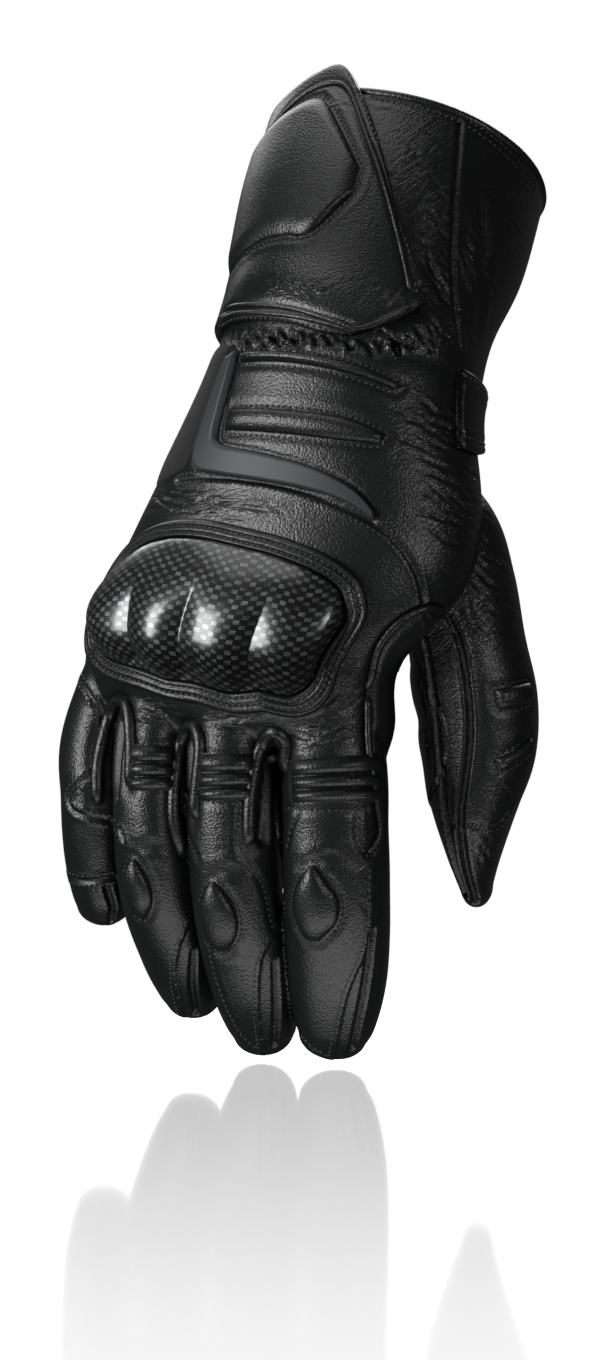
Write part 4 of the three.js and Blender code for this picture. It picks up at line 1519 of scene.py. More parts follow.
@dataclass(frozen=True)
class GrainedLeather:
    """Full-grain cowhide, drum-dyed black with a semi-gloss top coat.

    The pebbles of the grain break its broad highlights up, slack places carry fine wrinkles that run
    aslant, raised places are a little lighter and smoother, and creases are darker and duller.
    """

    name: str = "black_cowhide"
    dark: str = "#030404"
    light: str = "#101212"
    rough: float = 0.3
    dull: float = 0.16  # how much rougher a crease is
    rubbed: float = 0.06  # how much smoother a raised place is
    relief_mm: float = 0.9  # a crease this deep is fully dark
    patches: float = 60.0  # uneven patches of dye to a metre
    patchy: float = 0.6
    pebble_mm: float = 0.68
    pebble_deep_mm: float = 0.1
    pebble_soft: float = 0.3
    wrinkle_mm: float = 2.2
    wrinkle_deep_mm: float = 0.26
    wrinkle_long: float = 5.0  # how many times longer than wide a wrinkle is
    wrinkle_steep: float = 7.0
    wrinkle_power: float = 0.6
    taut: float = 0.05  # how wrinkled taut leather still is
    level_way: float = -0.1
    slanted_way: float = -0.6
    ior: float = 1.48

    def make(self) -> bpy.types.Material:
        """Builds the material.

        Returns:
            The material.
        """
        material, tree = new_material(self.name)
        place = add_node(tree, "ShaderNodeTexCoord").outputs["Object"]
        relief, slack, slant = (
            add_node(tree, "ShaderNodeAttribute", {"attribute_name": mark.value}).outputs["Fac"]
            for mark in Mark
        )
        patches = add_node(
            tree,
            "ShaderNodeTexNoise",
            inputs={"Vector": place, "Scale": self.patches, "Detail": 4.0, "Roughness": 0.6},
        )
        # Lighter where the leather is raised and darker in creases and grooves, by how far it was
        # pressed
        relief_tone = add_node(
            tree,
            "ShaderNodeMapRange",
            inputs={"Value": relief, "From Min": -self.relief_mm, "From Max": self.relief_mm},
        )
        spread = add_node(
            tree,
            "ShaderNodeMath",
            {"operation": "MULTIPLY_ADD"},
            {0: patches, 1: self.patchy, 2: -self.patchy / 2},
        )
        adding = {"operation": "ADD", "use_clamp": True}
        shade = add_node(tree, "ShaderNodeMath", adding, {0: relief_tone, 1: spread})
        colour = add_node(
            tree,
            "ShaderNodeMix",
            {"data_type": "RGBA"},
            {"Factor": shade, "A": srgb(self.dark), "B": srgb(self.light)},
        )
        rough = add_node(
            tree,
            "ShaderNodeMapRange",
            inputs={
                "Value": shade,
                "To Min": self.rough + self.dull,
                "To Max": self.rough - self.rubbed,
            },
        )
        level, slanted = (
            self.wrinkles(tree, place, way) for way in (self.level_way, self.slanted_way)
        )
        wrinkles = add_node(
            tree,
            "ShaderNodeMix",
            {"data_type": "FLOAT"},
            {"Factor": slant, "A": level, "B": slanted},
        )
        slackness = add_node(
            tree,
            "ShaderNodeMath",
            {"operation": "MULTIPLY_ADD", "use_clamp": True},
            {0: slack, 1: 1 - self.taut, 2: self.taut},
        )
        wrinkled = add_node(
            tree, "ShaderNodeMath", {"operation": "MULTIPLY"}, {0: wrinkles, 1: slackness}
        )
        soft = add_node(
            tree,
            "ShaderNodeBump",
            inputs={"Strength": 1.0, "Distance": self.wrinkle_deep_mm * MM, "Height": wrinkled},
        )
        pebbles = add_node(
            tree,
            "ShaderNodeTexVoronoi",
            {"feature": "SMOOTH_F1"},
            {"Vector": place, "Scale": 1 / (self.pebble_mm * MM), "Smoothness": self.pebble_soft},
        )
        grain = add_node(
            tree,
            "ShaderNodeBump",
            {"invert": True},
            {
                "Strength": 1.0,
                "Distance": self.pebble_deep_mm * MM,
                "Height": pebbles,
                "Normal": soft,
            },
        )
        look = {"Base Color": colour, "Roughness": rough, "IOR": self.ior, "Normal": grain}
        finish_material(tree, look)
        return material

    def wrinkles(
        self, tree: bpy.types.NodeTree, place: bpy.types.NodeSocket, way: float
    ) -> bpy.types.Node:
        """Adds thin valleys that run one way between soft ridges.

        Args:
            tree: the material's tree.
            place: the object's coordinates.
            way: how steeply the valleys rise to the left, in radians.

        Returns:
            The node of their height, 0 to 1.
        """
        long = (self.wrinkle_long, self.wrinkle_long, 1.0)
        turned = add_node(
            tree,
            "ShaderNodeMapping",
            {"vector_type": "TEXTURE"},
            {"Vector": place, "Rotation": (0.0, way, 0.0), "Scale": long},
        )
        value = add_node(
            tree,
            "ShaderNodeTexNoise",
            inputs={
                "Vector": turned,
                "Scale": 1 / (self.wrinkle_mm * MM),
                "Detail": 2.5,
                "Roughness": 0.6,
                "Distortion": 0.5,
            },
        )
        for operation, other, clamp in (
            ("SUBTRACT", 0.5, False),
            ("ABSOLUTE", 0.0, False),
            ("MULTIPLY", self.wrinkle_steep, True),
            ("POWER", self.wrinkle_power, False),
        ):
            settings = {"operation": operation, "use_clamp": clamp}
            value = add_node(tree, "ShaderNodeMath", settings, {0: value, 1: other})
        return value


@dataclass(frozen=True)
class WovenCarbon:
    """Plain-woven carbon tows under clear epoxy.

    The tows run both ways, and the different sheen of neighbouring squares is painted in: every other
    square gets a lighter base colour, faded in and out by a random drift. The clear resin over them
    gives soft-edged reflections of the lamps.
    """

    name: str = "woven_carbon_in_resin"
    dark: str = "#030303"
    # painted sheen: the base colour of every other square of the weave
    light: str = "#6a6e70"
    tow_mm: float = 2.15
    squat: float = 1.4  # how much wider than high a square is
    edge_mm: float = 0.12  # how wide the dark between two tows is
    weave_deep_mm: float = 0.04
    drift: float = 0.3  # how fast the weave comes and goes
    drift_range: tuple[float, float] = (0.3, 0.7)
    metallic: float = 0.6
    rough: float = 0.42
    resin_rough: float = 0.2

    def make(self) -> bpy.types.Material:
        """Builds the material, which reads the piece's own map in millimetres.

        Returns:
            The material.
        """
        material, tree = new_material(self.name)
        cloth = add_node(tree, "ShaderNodeUVMap", {"uv_map": CLOTH_MAP})
        squat = {"Vector": cloth, "Scale": (1.0, self.squat, 1.0)}
        place = add_node(tree, "ShaderNodeMapping", inputs=squat)
        squares = add_node(
            tree,
            "ShaderNodeTexChecker",
            inputs={
                "Vector": place,
                "Scale": 1 / self.tow_mm,
                "Color1": srgb("#000000"),
                "Color2": srgb("#ffffff"),
            },
        ).outputs["Fac"]
        drifting = {"Vector": place, "Scale": self.drift, "Detail": 3.0}
        drift = add_node(tree, "ShaderNodeTexNoise", inputs=drifting)
        low, high = self.drift_range
        contrast = add_node(
            tree, "ShaderNodeMapRange", inputs={"Value": drift, "From Min": low, "From Max": high}
        )
        shown = add_node(
            tree,
            "ShaderNodeMath",
            {"operation": "MULTIPLY", "use_clamp": True},
            {0: squares, 1: contrast},
        )
        axes = add_node(tree, "ShaderNodeSeparateXYZ", inputs={"Vector": place})
        for axis in ("X", "Y"):
            inward = add_node(
                tree,
                "ShaderNodeMath",
                {"operation": "PINGPONG"},
                {0: axes.outputs[axis], 1: self.tow_mm / 2},
            )
            clear = add_node(
                tree,
                "ShaderNodeMapRange",
                inputs={"Value": inward, "From Min": self.edge_mm, "From Max": 2 * self.edge_mm},
            )
            shown = add_node(
                tree, "ShaderNodeMath", {"operation": "MULTIPLY"}, {0: shown, 1: clear}
            )
        # Painted sheen: the lighter squares stand in for the light that tows of one direction throw back
        colour = add_node(
            tree,
            "ShaderNodeMix",
            {"data_type": "RGBA"},
            {"Factor": shown, "A": srgb(self.dark), "B": srgb(self.light)},
        )
        bump = add_node(
            tree,
            "ShaderNodeBump",
            inputs={"Strength": 0.4, "Distance": self.weave_deep_mm * MM, "Height": squares},
        )
        finish_material(
            tree,
            {
                "Base Color": colour,
                "Metallic": self.metallic,
                "Roughness": self.rough,
                "Normal": bump,
                "Coat Weight": 1.0,
                "Coat Roughness": self.resin_rough,
            },
        )
        return material


@dataclass(frozen=True)
class PlainFinish:
    """A moulded, woven or spun finish: one colour that varies a little, with a fine bump."""

    name: str
    dark: str
    light: str
    rough: float
    grain_mm: float
    deep_mm: float
    sheen: float = 0.0

    def make(self) -> bpy.types.Material:
        """Builds the material.

        Returns:
            The material.
        """
        material, tree = new_material(self.name)
        place = add_node(tree, "ShaderNodeTexCoord").outputs["Object"]
        grain = add_node(
            tree,
            "ShaderNodeTexNoise",
            inputs={"Vector": place, "Scale": 1 / (self.grain_mm * MM), "Detail": 3.0},
        )
        colour = add_node(
            tree,
            "ShaderNodeMix",
            {"data_type": "RGBA"},
            {"Factor": grain, "A": srgb(self.dark), "B": srgb(self.light)},
        )
        bump = add_node(
            tree, "ShaderNodeBump", inputs={"Distance": self.deep_mm * MM, "Height": grain}
        )
        look = {
            "Base Color": colour,
            "Roughness": self.rough,
            "Sheen Weight": self.sheen,
            "Normal": bump,
        }
        finish_material(tree, look)
        return material


# Moulded matt rubber: even, dull and a little greyer than the leather
MATT_RUBBER = PlainFinish("matt_moulded_rubber", "#202325", "#262a2c", 0.52, 0.6, 0.01)
# Bonded polyester thread: as dark as the leather, with a soft shine
THREAD = PlainFinish("bonded_polyester_thread", "#141515", "#262828", 0.45, 0.25, 0.03)
# Brushed polyester lining: dull black with a faint sheen of nap
LINING = PlainFinish("brushed_polyester_lining", "#0b0b0c", "#141516", 0.9, 0.5, 0.12, 0.2)
# Knitted stretch nylon: dull, with its stitches too fine to see but as a rough nap
KNIT = PlainFinish("stretch_knit_nylon", "#050606", "#0e0f10", 0.85, 0.8, 0.4)


@dataclass
class Workshop:
    """The finishes, made once, and what is common to dressing a piece."""

    leather: bpy.types.Material
    carbon: bpy.types.Material
    rubber: bpy.types.Material
    lining: bpy.types.Material
    knit: bpy.types.Material
    stitches: LineWork
    cords: LineWork

    @classmethod
    def open(cls) -> Workshop:
        """Makes all the finishes.

        Returns:
            The workshop.
        """
        leather = GrainedLeather().make()
        return cls(
            leather,
            WovenCarbon().make(),
            MATT_RUBBER.make(),
            LINING.make(),
            KNIT.make(),
            LineWork.stitches(THREAD.make()),
            LineWork.cords(leather),
        )

    def piece(
        self,
        name: str,
        surface: Surface,
        material: bpy.types.Material,
        stands_for: Sequence[str] = (),
        slot: str = LEATHER_SLOT,
        cloth_map: np.ndarray | None = None,
    ) -> bpy.types.Object:
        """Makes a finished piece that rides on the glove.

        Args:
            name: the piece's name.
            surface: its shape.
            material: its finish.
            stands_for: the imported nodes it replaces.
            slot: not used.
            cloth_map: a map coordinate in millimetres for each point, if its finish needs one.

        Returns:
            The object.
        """
        obj = plain_object(name, surface.points, surface.triangles)
        mesh = obj.data
        mesh.materials.append(material)
        smoothed(mesh)
        for mark, values in surface.marks.items():
            layer = mesh.attributes.new(mark, "FLOAT", "POINT")
            layer.data.foreach_set("value", values.astype(np.float32))
        if cloth_map is not None:
            layer = mesh.uv_layers.new(name=CLOTH_MAP)
            corners = np.empty(len(mesh.loops), int)
            mesh.loops.foreach_get("vertex_index", corners)
            layer.data.foreach_set("uv", cloth_map[corners].astype(np.float32).ravel())
        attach(obj, ROOT)
        if stands_for:
            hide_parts(*stands_for)
        log.info("%s: %d triangles", name, len(surface.triangles))
        return obj

    def trim(self, name: str, tailor: Tailor) -> None:
        """Adds the thread and the cords of a sewn surface as two pieces.

        Args:
            name: the start of the pieces' names.
            tailor: who sewed the surface.
        """
        threads = tailor.threads()
        if threads:
            self.stitches.make(name + "_stitches", [(path, 0.0) for path in threads])
        cords = tailor.cords()
        if cords:
            self.cords.make(name + "_cords", cords)


# Where the seams of the hand run in the photograph
HAND_LINES = (
    # The yoke under the blade, down to the thumb
    Line(
        TWIN,
        (
            (176, 482), (190, 478), (228, 478), (277, 485), (325, 500), (374, 524), (398, 544),
            (417, 573), (424, 603),
        ),
    ),
    # Round the crotch of the thumb and down it to the tip
    Line(ROLL, ((370, 690), (379, 649), (401, 622), (430, 608), (446, 614))),
    Line(
        TUCK,
        (
            (446, 614), (459, 642), (467, 685), (470, 734), (465, 782), (461, 819), (466, 867),
            (476, 903),
        ),
    ),
    Line(ROLL, ((369, 695), (369, 740), (374, 780), (381, 831), (371, 853))),
    # The rolled edges of the side panels between the fingers' roots, and the dark between them
    Line(
        THICK_ROLL,
        (
            (98, 807), (98, 767), (106, 730), (113, 706), (120, 699), (126, 706), (129, 728),
            (130, 760), (128, 789),
        ),
    ),
    Line(
        THICK_ROLL,
        (
            (187, 858), (176, 826), (175, 794), (180, 754), (184, 733), (190, 724), (196, 730),
            (199, 748), (195, 789), (192, 821),
        ),
    ),
    Line(
        THICK_ROLL,
        (
            (250, 847), (251, 799), (259, 756), (266, 738), (274, 732), (283, 739), (286, 750),
            (278, 794), (279, 826), (283, 847),
        ),
    ),
    Line(RECESS, ((119, 722), (115, 760), (113, 800))),
    Line(RECESS, ((190, 744), (187, 790), (184, 838))),
    Line(RECESS, ((273, 752), (268, 795), (264, 840))),
    # The little finger's curved panel, its cross seam and its tip
    Line(TWIN, ((124, 842), (114, 823), (77, 813), (69, 794), (101, 762), (104, 724), (79, 676))),
    Line(TWIN, ((64, 874), (85, 881), (119, 877))),
    Line(TUCK, ((106, 886), (113, 909), (110, 925))),
    # The panels on the fingers' backs: under the ribs, and down their sides
    Line(TOPSTITCH, ((127, 786), (150, 789), (180, 787))),
    Line(TOPSTITCH, ((197, 800), (222, 804), (246, 802))),
    Line(TOPSTITCH, ((286, 808), (325, 811), (368, 809))),
    Line(TOPSTITCH, ((180, 787), (184, 826), (198, 860))),
    Line(TOPSTITCH, ((243, 800), (240, 850), (262, 884), (273, 930))),
    Line(TOPSTITCH, ((299, 812), (290, 830), (286, 850))),
    Line(TOPSTITCH, ((357, 812), (358, 842), (371, 858))),
    Line(TOPSTITCH, ((127, 742), (150, 744), (180, 742))),
    Line(TOPSTITCH, ((199, 752), (222, 755), (248, 752))),
    Line(TOPSTITCH, ((285, 760), (325, 763), (368, 760))),
    # Both sides of each fingertip
    Line(LAP, ((334, 1058), (347, 997), (363, 957), (373, 920), (374, 866))),
    Line(LAP, ((264, 1050), (259, 1008), (261, 963), (272, 939))),
    Line(LAP, ((184, 1018), (176, 981), (179, 949), (191, 920))),
    Line(TOPSTITCH, ((284, 900), (284, 950), (291, 1015), (306, 1042), (330, 1057))),
    Line(TOPSTITCH, ((206, 936), (216, 981), (237, 1030), (258, 1049))),
    Line(TUCK, ((372, 930), (365, 985), (352, 1050))),
    Line(TUCK, ((275, 960), (276, 1010), (274, 1046))),
    Line(TUCK, ((194, 950), (192, 985), (196, 1014))),
    # The thumb's cross seam and the edge of its inner overlay
    Line(LAP, ((510, 809), (496, 824), (461, 826))),
    Line(STEP, ((430, 798), (446, 758), (446, 724), (432, 696))),
    # The soft folds over the fingers' middle joints
    Line(FOLD, ((290, 866), (328, 858), (368, 864))),
    Line(FOLD, ((204, 876), (225, 870), (252, 876))),
    Line(FOLD, ((130, 850), (155, 846), (184, 852))),
    Line(FOLD, ((198, 946), (222, 954), (250, 950))),
    # The long folds under the guard's frame
    Line(FOLD, ((226, 742), (262, 728), (300, 718), (360, 712))),
    Line(FOLD, ((290, 728), (330, 724), (366, 730))),
)

# Middle and reach in pixels, angle in degrees, length in pixels, count, depth and width in millimetres
HAND_CREASES = (
    Creases((190, 503), (80, 14), 5, 50, 22, 0.25),
    Creases((440, 430), (34, 40), 24, 40, 22, 0.3),
    Creases((455, 500), (34, 50), 27, 46, 26, 0.3),
    Creases((480, 590), (30, 50), 38, 40, 22, 0.25),
    Creases((440, 640), (22, 40), 60, 30, 10, 0.2),
    Creases((150, 712), (26, 14), 12, 26, 10, 0.25),
    Creases((230, 722), (30, 14), -8, 30, 12, 0.28),
    Creases((320, 730), (40, 16), -12, 36, 16, 0.3),
    Creases((345, 690), (18, 20), -35, 26, 8, 0.25),
    Creases((225, 850), (16, 16), 15, 20, 7, 0.06),
    Creases((150, 835), (16, 16), 8, 20, 6, 0.06),
    Creases((325, 850), (26, 12), 10, 24, 6, 0.06),
    Creases((90, 900), (18, 14), -30, 16, 5, 0.08),
    Creases((490, 850), (12, 24), 75, 22, 7, 0.25),
    Creases((500, 790), (14, 20), 20, 18, 6, 0.25),
    Creases((420, 730), (10, 40), 80, 26, 7, 0.25),
    Creases((366, 900), (8, 20), 70, 16, 5, 0.12),
)

# The leather gathered where the cuff is sewn to the hand, drawn on both
WRIST_PUCKERS = (
    Creases((300, 341), (60, 7), 84, 15, 24, 0.9, 0.9),
    Creases((395, 344), (34, 10), 66, 20, 20, 0.8, 0.9),
    Creases((250, 340), (24, 8), 66, 15, 10, 0.8, 0.9),
)

# The palm, drawn by somebody behind the glove: the heel patch, the panel lines and the digits' seams
PALM_LINES = (
    Line(
        LAP,
        ((190, 600), (160, 560), (165, 500), (215, 475), (290, 490), (330, 545), (300, 600)),
        PALM_VIEW,
    ),
    Line(TWIN, ((120, 640), (180, 650), (260, 690), (350, 705), (450, 700), (520, 690)), PALM_VIEW),
    Line(TUCK, ((215, 640), (235, 580), (280, 520), (350, 470), (380, 400)), PALM_VIEW),
)
PALM_CREASES = (
    Creases((260, 640), (80, 40), 15, 60, 16, 0.5, 1.2, PALM_VIEW),
    Creases((330, 560), (60, 60), -30, 60, 14, 0.5, 1.2, PALM_VIEW),
    Creases((420, 640), (50, 60), 20, 50, 12, 0.45, 1.1, PALM_VIEW),
    Creases((300, 420), (80, 40), 5, 70, 16, 0.5, 1.2, PALM_VIEW),
)

CUFF_LINES = (
    Line(THIN_TUCK, ((461, 100), (459, 147), (455, 201), (453, 281), (461, 348))),
    Line(TOPSTITCH, ((372, 93), (420, 101), (461, 116), (500, 142), (536, 180))),
    Line(TOPSTITCH, ((372, 98), (420, 107), (460, 122), (498, 148), (534, 188))),
    Line(FOLD, ((478, 190), (484, 250), (482, 300), (476, 340))),
    Line(FOLD, ((432, 262), (446, 300), (458, 330))),
    Line(FOLD, ((424, 256), (436, 284), (449, 304))),
)
CUFF_CREASES = (
    Creases((420, 150), (36, 60), 30, 26, 20, 0.15),
    Creases((436, 220), (18, 50), 45, 26, 20, 0.2),
    Creases((440, 290), (14, 30), 55, 28, 16, 0.25),
    Creases((475, 260), (16, 60), 65, 36, 12, 0.2),
    Creases((495, 200), (26, 50), 50, 30, 12, 0.15),
    Creases((445, 330), (26, 14), 60, 24, 14, 0.35),
    *WRIST_PUCKERS,
)

FLAP_SEAMS = (
    Line(
        WELT,
        (
            (262, 150), (275, 122), (298, 98), (318, 86), (332, 82), (343, 84), (352, 96),
            (366, 134), (381, 174), (398, 234), (411, 291),
        ),
    ),
    Line(PUFF, ((205, 290), (262, 278), (310, 282), (360, 298))),
    Line(WELT, ((362, 84), (378, 112), (400, 174), (413, 241), (425, 296))),
    Line(TOPSTITCH, ((357, 92), (372, 125), (391, 174), (406, 238), (418, 294))),
    Line(WELT, ((222, 312), (238, 305), (287, 307), (341, 323), (362, 328), (416, 306))),
    Line(WELT, ((218, 322), (238, 313), (287, 315), (330, 324), (362, 334))),
    Line(TOPSTITCH, ((217, 328), (238, 319), (287, 321), (330, 330), (356, 336))),
)
FLAP_CREASES = (
    Creases((330, 105), (14, 12), 20, 16, 8, 0.2, 0.7),
    Creases((320, 285), (50, 12), 30, 14, 10, 0.12, 0.7),
    Creases((395, 298), (14, 8), -20, 16, 6, 0.15, 0.8),
)


CREASE_SEEDS = {"hand": 3, "palm": 5, "cuff": 7, "flap": 9}


@dataclass
class HandLeather:
    """The hand, the four fingers and the thumb: one soft leather skin, hollow to the fingertips."""

    shop: Workshop
    tailor: Tailor | None = None
    under_cuff: float = 0.15  # how many rows the leather runs up into the cuff
    lining_start: float = 0.6  # and its hollow, which has to cut right through
    sleeve_mesh: tuple[int, int] = (8, 120)  # sections to a row and points round each
    digit_mesh: tuple[int, int] = (10, 72)
    sleeve_lining: tuple[int, int] = (3, 48)
    digit_lining: tuple[int, int] = (3, 28)

    def melt(self) -> None:
        """Melts the lofted hand, the digits and the strip between two fingers into one skin."""
        start = WRIST_ROW - self.under_cuff
        parts = [closed_body(SLEEVE, start, SLEEVE.last, *self.sleeve_mesh, 0.0)]
        for digit in (*DIGITS, WEB):
            parts.append(closed_body(digit, 0.0, digit.last, *self.digit_mesh, 0.0))
        self.tailor = Tailor(fused(parts, SKIN_VOXEL, SKIN_SMOOTHING))

    def finger_seams(self) -> None:
        """Sews the seams down both sides of each digit, where the photograph doesn't look."""
        for digit in DIGITS:
            rows = np.linspace(FINGER_SEAM_START, digit.last, FINGER_SEAM_POINTS)
            for turn in FINGER_SEAM_TURNS:
                self.tailor.sew(self.tailor.surface.seat(digit.at(rows, turn)), TUCK)

    def bed(self, overlay: Overlay, distance: float, seam: Seam) -> None:
        """Sews a seam round an overlay, at a distance outside it."""
        self.tailor.sew(self.tailor.surface.seat(overlay.outline(distance)), seam)

    def build(self) -> None:
        """Folds, sews, hollows and dresses the leather."""
        tailor = self.tailor
        tailor.sew_all(HAND_LINES)
        tailor.sew_all(PALM_LINES)
        self.finger_seams()
        tailor.crease((*HAND_CREASES, *WRIST_PUCKERS), CREASE_SEEDS["hand"])
        tailor.crease(PALM_CREASES, CREASE_SEEDS["palm"])
        tailor.surface.settle()
        skin = tailor.surface
        thin = plain_object("thin", skin.points, skin.triangles)
        decimate = thin.modifiers.new("thin", "DECIMATE")
        decimate.ratio = SKIN_TRIANGLES / len(skin.triangles)
        outer = evaluated_surface(thin)
        outer.inherit(skin)
        start = WRIST_ROW - self.lining_start
        parts = [closed_body(SLEEVE, start, SLEEVE.last, *self.sleeve_lining, -WALL)]
        for digit in DIGITS:
            parts.append(closed_body(digit, ROW_STEP, digit.last, *self.digit_lining, -WALL))
        wall, inside = hollowed(outer, fused(parts, LINING_VOXEL, LINING_SMOOTHING))
        obj = self.shop.piece(
            "hand_leather",
            wall,
            self.shop.leather,
            ("hand_shell", "index_finger", "middle_finger", "ring_finger", "little_finger", "thumb"),
        )
        obj.data.materials.append(self.shop.lining)
        obj.data.polygons.foreach_set("material_index", inside.astype(int))
        self.shop.trim("hand", tailor)


@dataclass
class Cuff:
    """The gauntlet: a leather tube with a folded edge, and the flap that closes it."""

    shop: Workshop
    flap_height: Swell = Swell(15, edge=1.8, rise=1.2, side_share=0.03, end_share=0.012)
    pad_height: Swell = Swell(5, edge=-0.1, rise=2.1, side_share=0.13, end_share=0.11, power=1.3)
    pad_lift: float = 3.0  # the flap's thickness, which carries the pad
    pad_seam: float = 0.9  # how far outside the pad its stitches run
    pad_fill: float = 0.6
    along: int = 150
    around: int = 420
    inner_along: int = 12
    mouth_row: float = 0.02
    over_hand: float = 0.06  # how many rows the tube runs past the wrist seam
    tuck: float = 1.6  # how far its end is drawn in there
    tuck_rows: float = 0.12
    edge_points: int = 15  # round the folded edge's section
    edge_open: float = 0.35  # how much of a half circle its two legs reach on down
    edge_thick: float = 0.7
    edge_half: float = 1.4
    edge_rise: float = 0.4
    mouth_pitch: float = 29.0  # millimetres to a row at the mouth

    def turns(self) -> np.ndarray:
        """Returns the angles of the points round the tube."""
        return np.linspace(0, 360, self.around, endpoint=False)

    def tube(self) -> Surface:
        """Builds the tube's outer and inner faces as one wall.

        Returns:
            The wall.
        """
        last = WRIST_ROW + self.over_hand
        rows = np.linspace(self.mouth_row, last, self.along)[:, None]
        tuck = self.tuck * smoothstep(rows, WRIST_ROW - self.tuck_rows, last)
        inner_rows = np.linspace(last, self.mouth_row, self.inner_along)[:, None]
        outer = SLEEVE.at(rows, self.turns()[None], -tuck)
        inner = SLEEVE.at(inner_rows, self.turns()[None], -WALL)
        return ring_surface(np.concatenate([outer, inner]))

    def edge(self) -> Surface:
        """Builds the folded edge that rolls over the mouth.

        Returns:
            The edge.
        """
        legs = np.pi * self.edge_open
        section = np.linspace(-legs, np.pi + legs, self.edge_points)
        grow = -WALL / 2 + (WALL / 2 + self.edge_thick) * np.cos(section)
        rise = self.edge_half * np.sin(section) + self.edge_rise
        return ring_surface(SLEEVE.at(-rise[None] / self.mouth_pitch, self.turns()[:, None], grow[None]))

    def build(self) -> None:
        """Builds and dresses the cuff and its flap."""
        shop = self.shop
        tailor = Tailor(self.tube())
        tailor.sew_all(CUFF_LINES)
        tailor.crease(CUFF_CREASES, CREASE_SEEDS["cuff"])
        tailor.surface.settle()
        shop.piece("cuff_leather", tailor.surface, shop.leather, ("cuff_shell",))
        shop.trim("cuff", tailor)
        shop.piece("cuff_folded_edge", self.edge(), shop.leather, ("cuff_binding",))
        flap_top = replace(SLEEVE, lift=self.pad_lift)
        pad = Overlay(flap_top, PAD_LINES, self.pad_height, steps=20, spans=60)
        flap, _ = Overlay(SLEEVE, FLAP_LINES, self.flap_height, steps=18, spans=140).surface()
        tailor = Tailor(flap)
        tailor.sew(flap.seat(pad.outline(self.pad_seam)), TOPSTITCH)
        tailor.sew_all(FLAP_SEAMS)
        tailor.crease(FLAP_CREASES, CREASE_SEEDS["flap"])
        tailor.surface.settle()
        shop.piece("cuff_flap_leather", flap, shop.leather, ("cuff_flap", "flap_piping"))
        shop.trim("flap", tailor)
        obj = shop.piece("flap_padded_field", pad.surface()[0], shop.leather, ("flap_pad",))


@dataclass
class WristPieces:
    """The strap, the two padded bars, the moulded blade and the knit panel round the wrist."""

    shop: Workshop
    bar_height: Swell = Swell(3, edge=0.0, rise=2.3, side_share=0.5, end_share=0.12)
    blade_height: Swell = Swell(10, edge=0.2, rise=1.7, side_share=0.16, end_share=0.04)
    strap_height: Swell = Swell(9, edge=1.4, rise=1.2, side_share=0.08, end_share=0.02)
    knit_height: Swell = Swell(5, edge=-0.3, rise=1.4, side_share=0.2, end_share=0.12)
    strap_seams: tuple[float, float] = (0.1, 0.9)  # where across the strap its stitches run
    strap_thick: float = 2.6
    strap_pitch: float = 1.5  # degrees
    bar_seam: float = 1.0  # how far outside a bar its stitches run
    bar_fill: float = 0.7
    blade_seam: float = 0.3

    def build(self, hand: HandLeather) -> None:
        """Builds and dresses the pieces, and beds them in the leather.

        Args:
            hand: the leather that they lie on.
        """
        strap, _ = Overlay(SLEEVE, STRAP_LINES, self.strap_height, steps=14, spans=36).surface()
        tailor = Tailor(strap)
        table = np.array(STRAP_LINES, float)
        for share in self.strap_seams:
            at = table[:, :2] + (table[:, 2:] - table[:, :2]) * share
            at = smooth_line(at, self.strap_pitch)
            tailor.sew(strap.seat(SLEEVE.at(at[:, 0], at[:, 1], self.strap_thick)), TOPSTITCH)
        strap.settle()
        self.shop.piece("wrist_strap_band", strap, self.shop.leather, ("wrist_strap",))
        self.shop.trim("strap", tailor)
        for side, lines in (("upper", UPPER_BAR_LINES), ("lower", LOWER_BAR_LINES)):
            bar = Overlay(SLEEVE, lines, self.bar_height, steps=40, spans=18)
            obj = self.shop.piece(
                "wrist_bar_" + side, bar.surface()[0], self.shop.leather, ("wrist_rib_" + side,)
            )
            hand.bed(bar, self.bar_seam, TOPSTITCH)
        blade = Overlay(SLEEVE, BLADE_LINES, self.blade_height, steps=16, spans=20)
        hand.bed(blade, self.blade_seam, INLAY)
        self.shop.piece(
            "rubber_blade", blade.surface()[0], self.shop.rubber, ("wrist_trim",), RUBBER_SLOT
        )
        knit, _ = Overlay(SLEEVE, KNIT_LINES, self.knit_height, steps=10, spans=30).surface()
        self.shop.piece("wrist_knit_panel", knit, self.shop.knit)


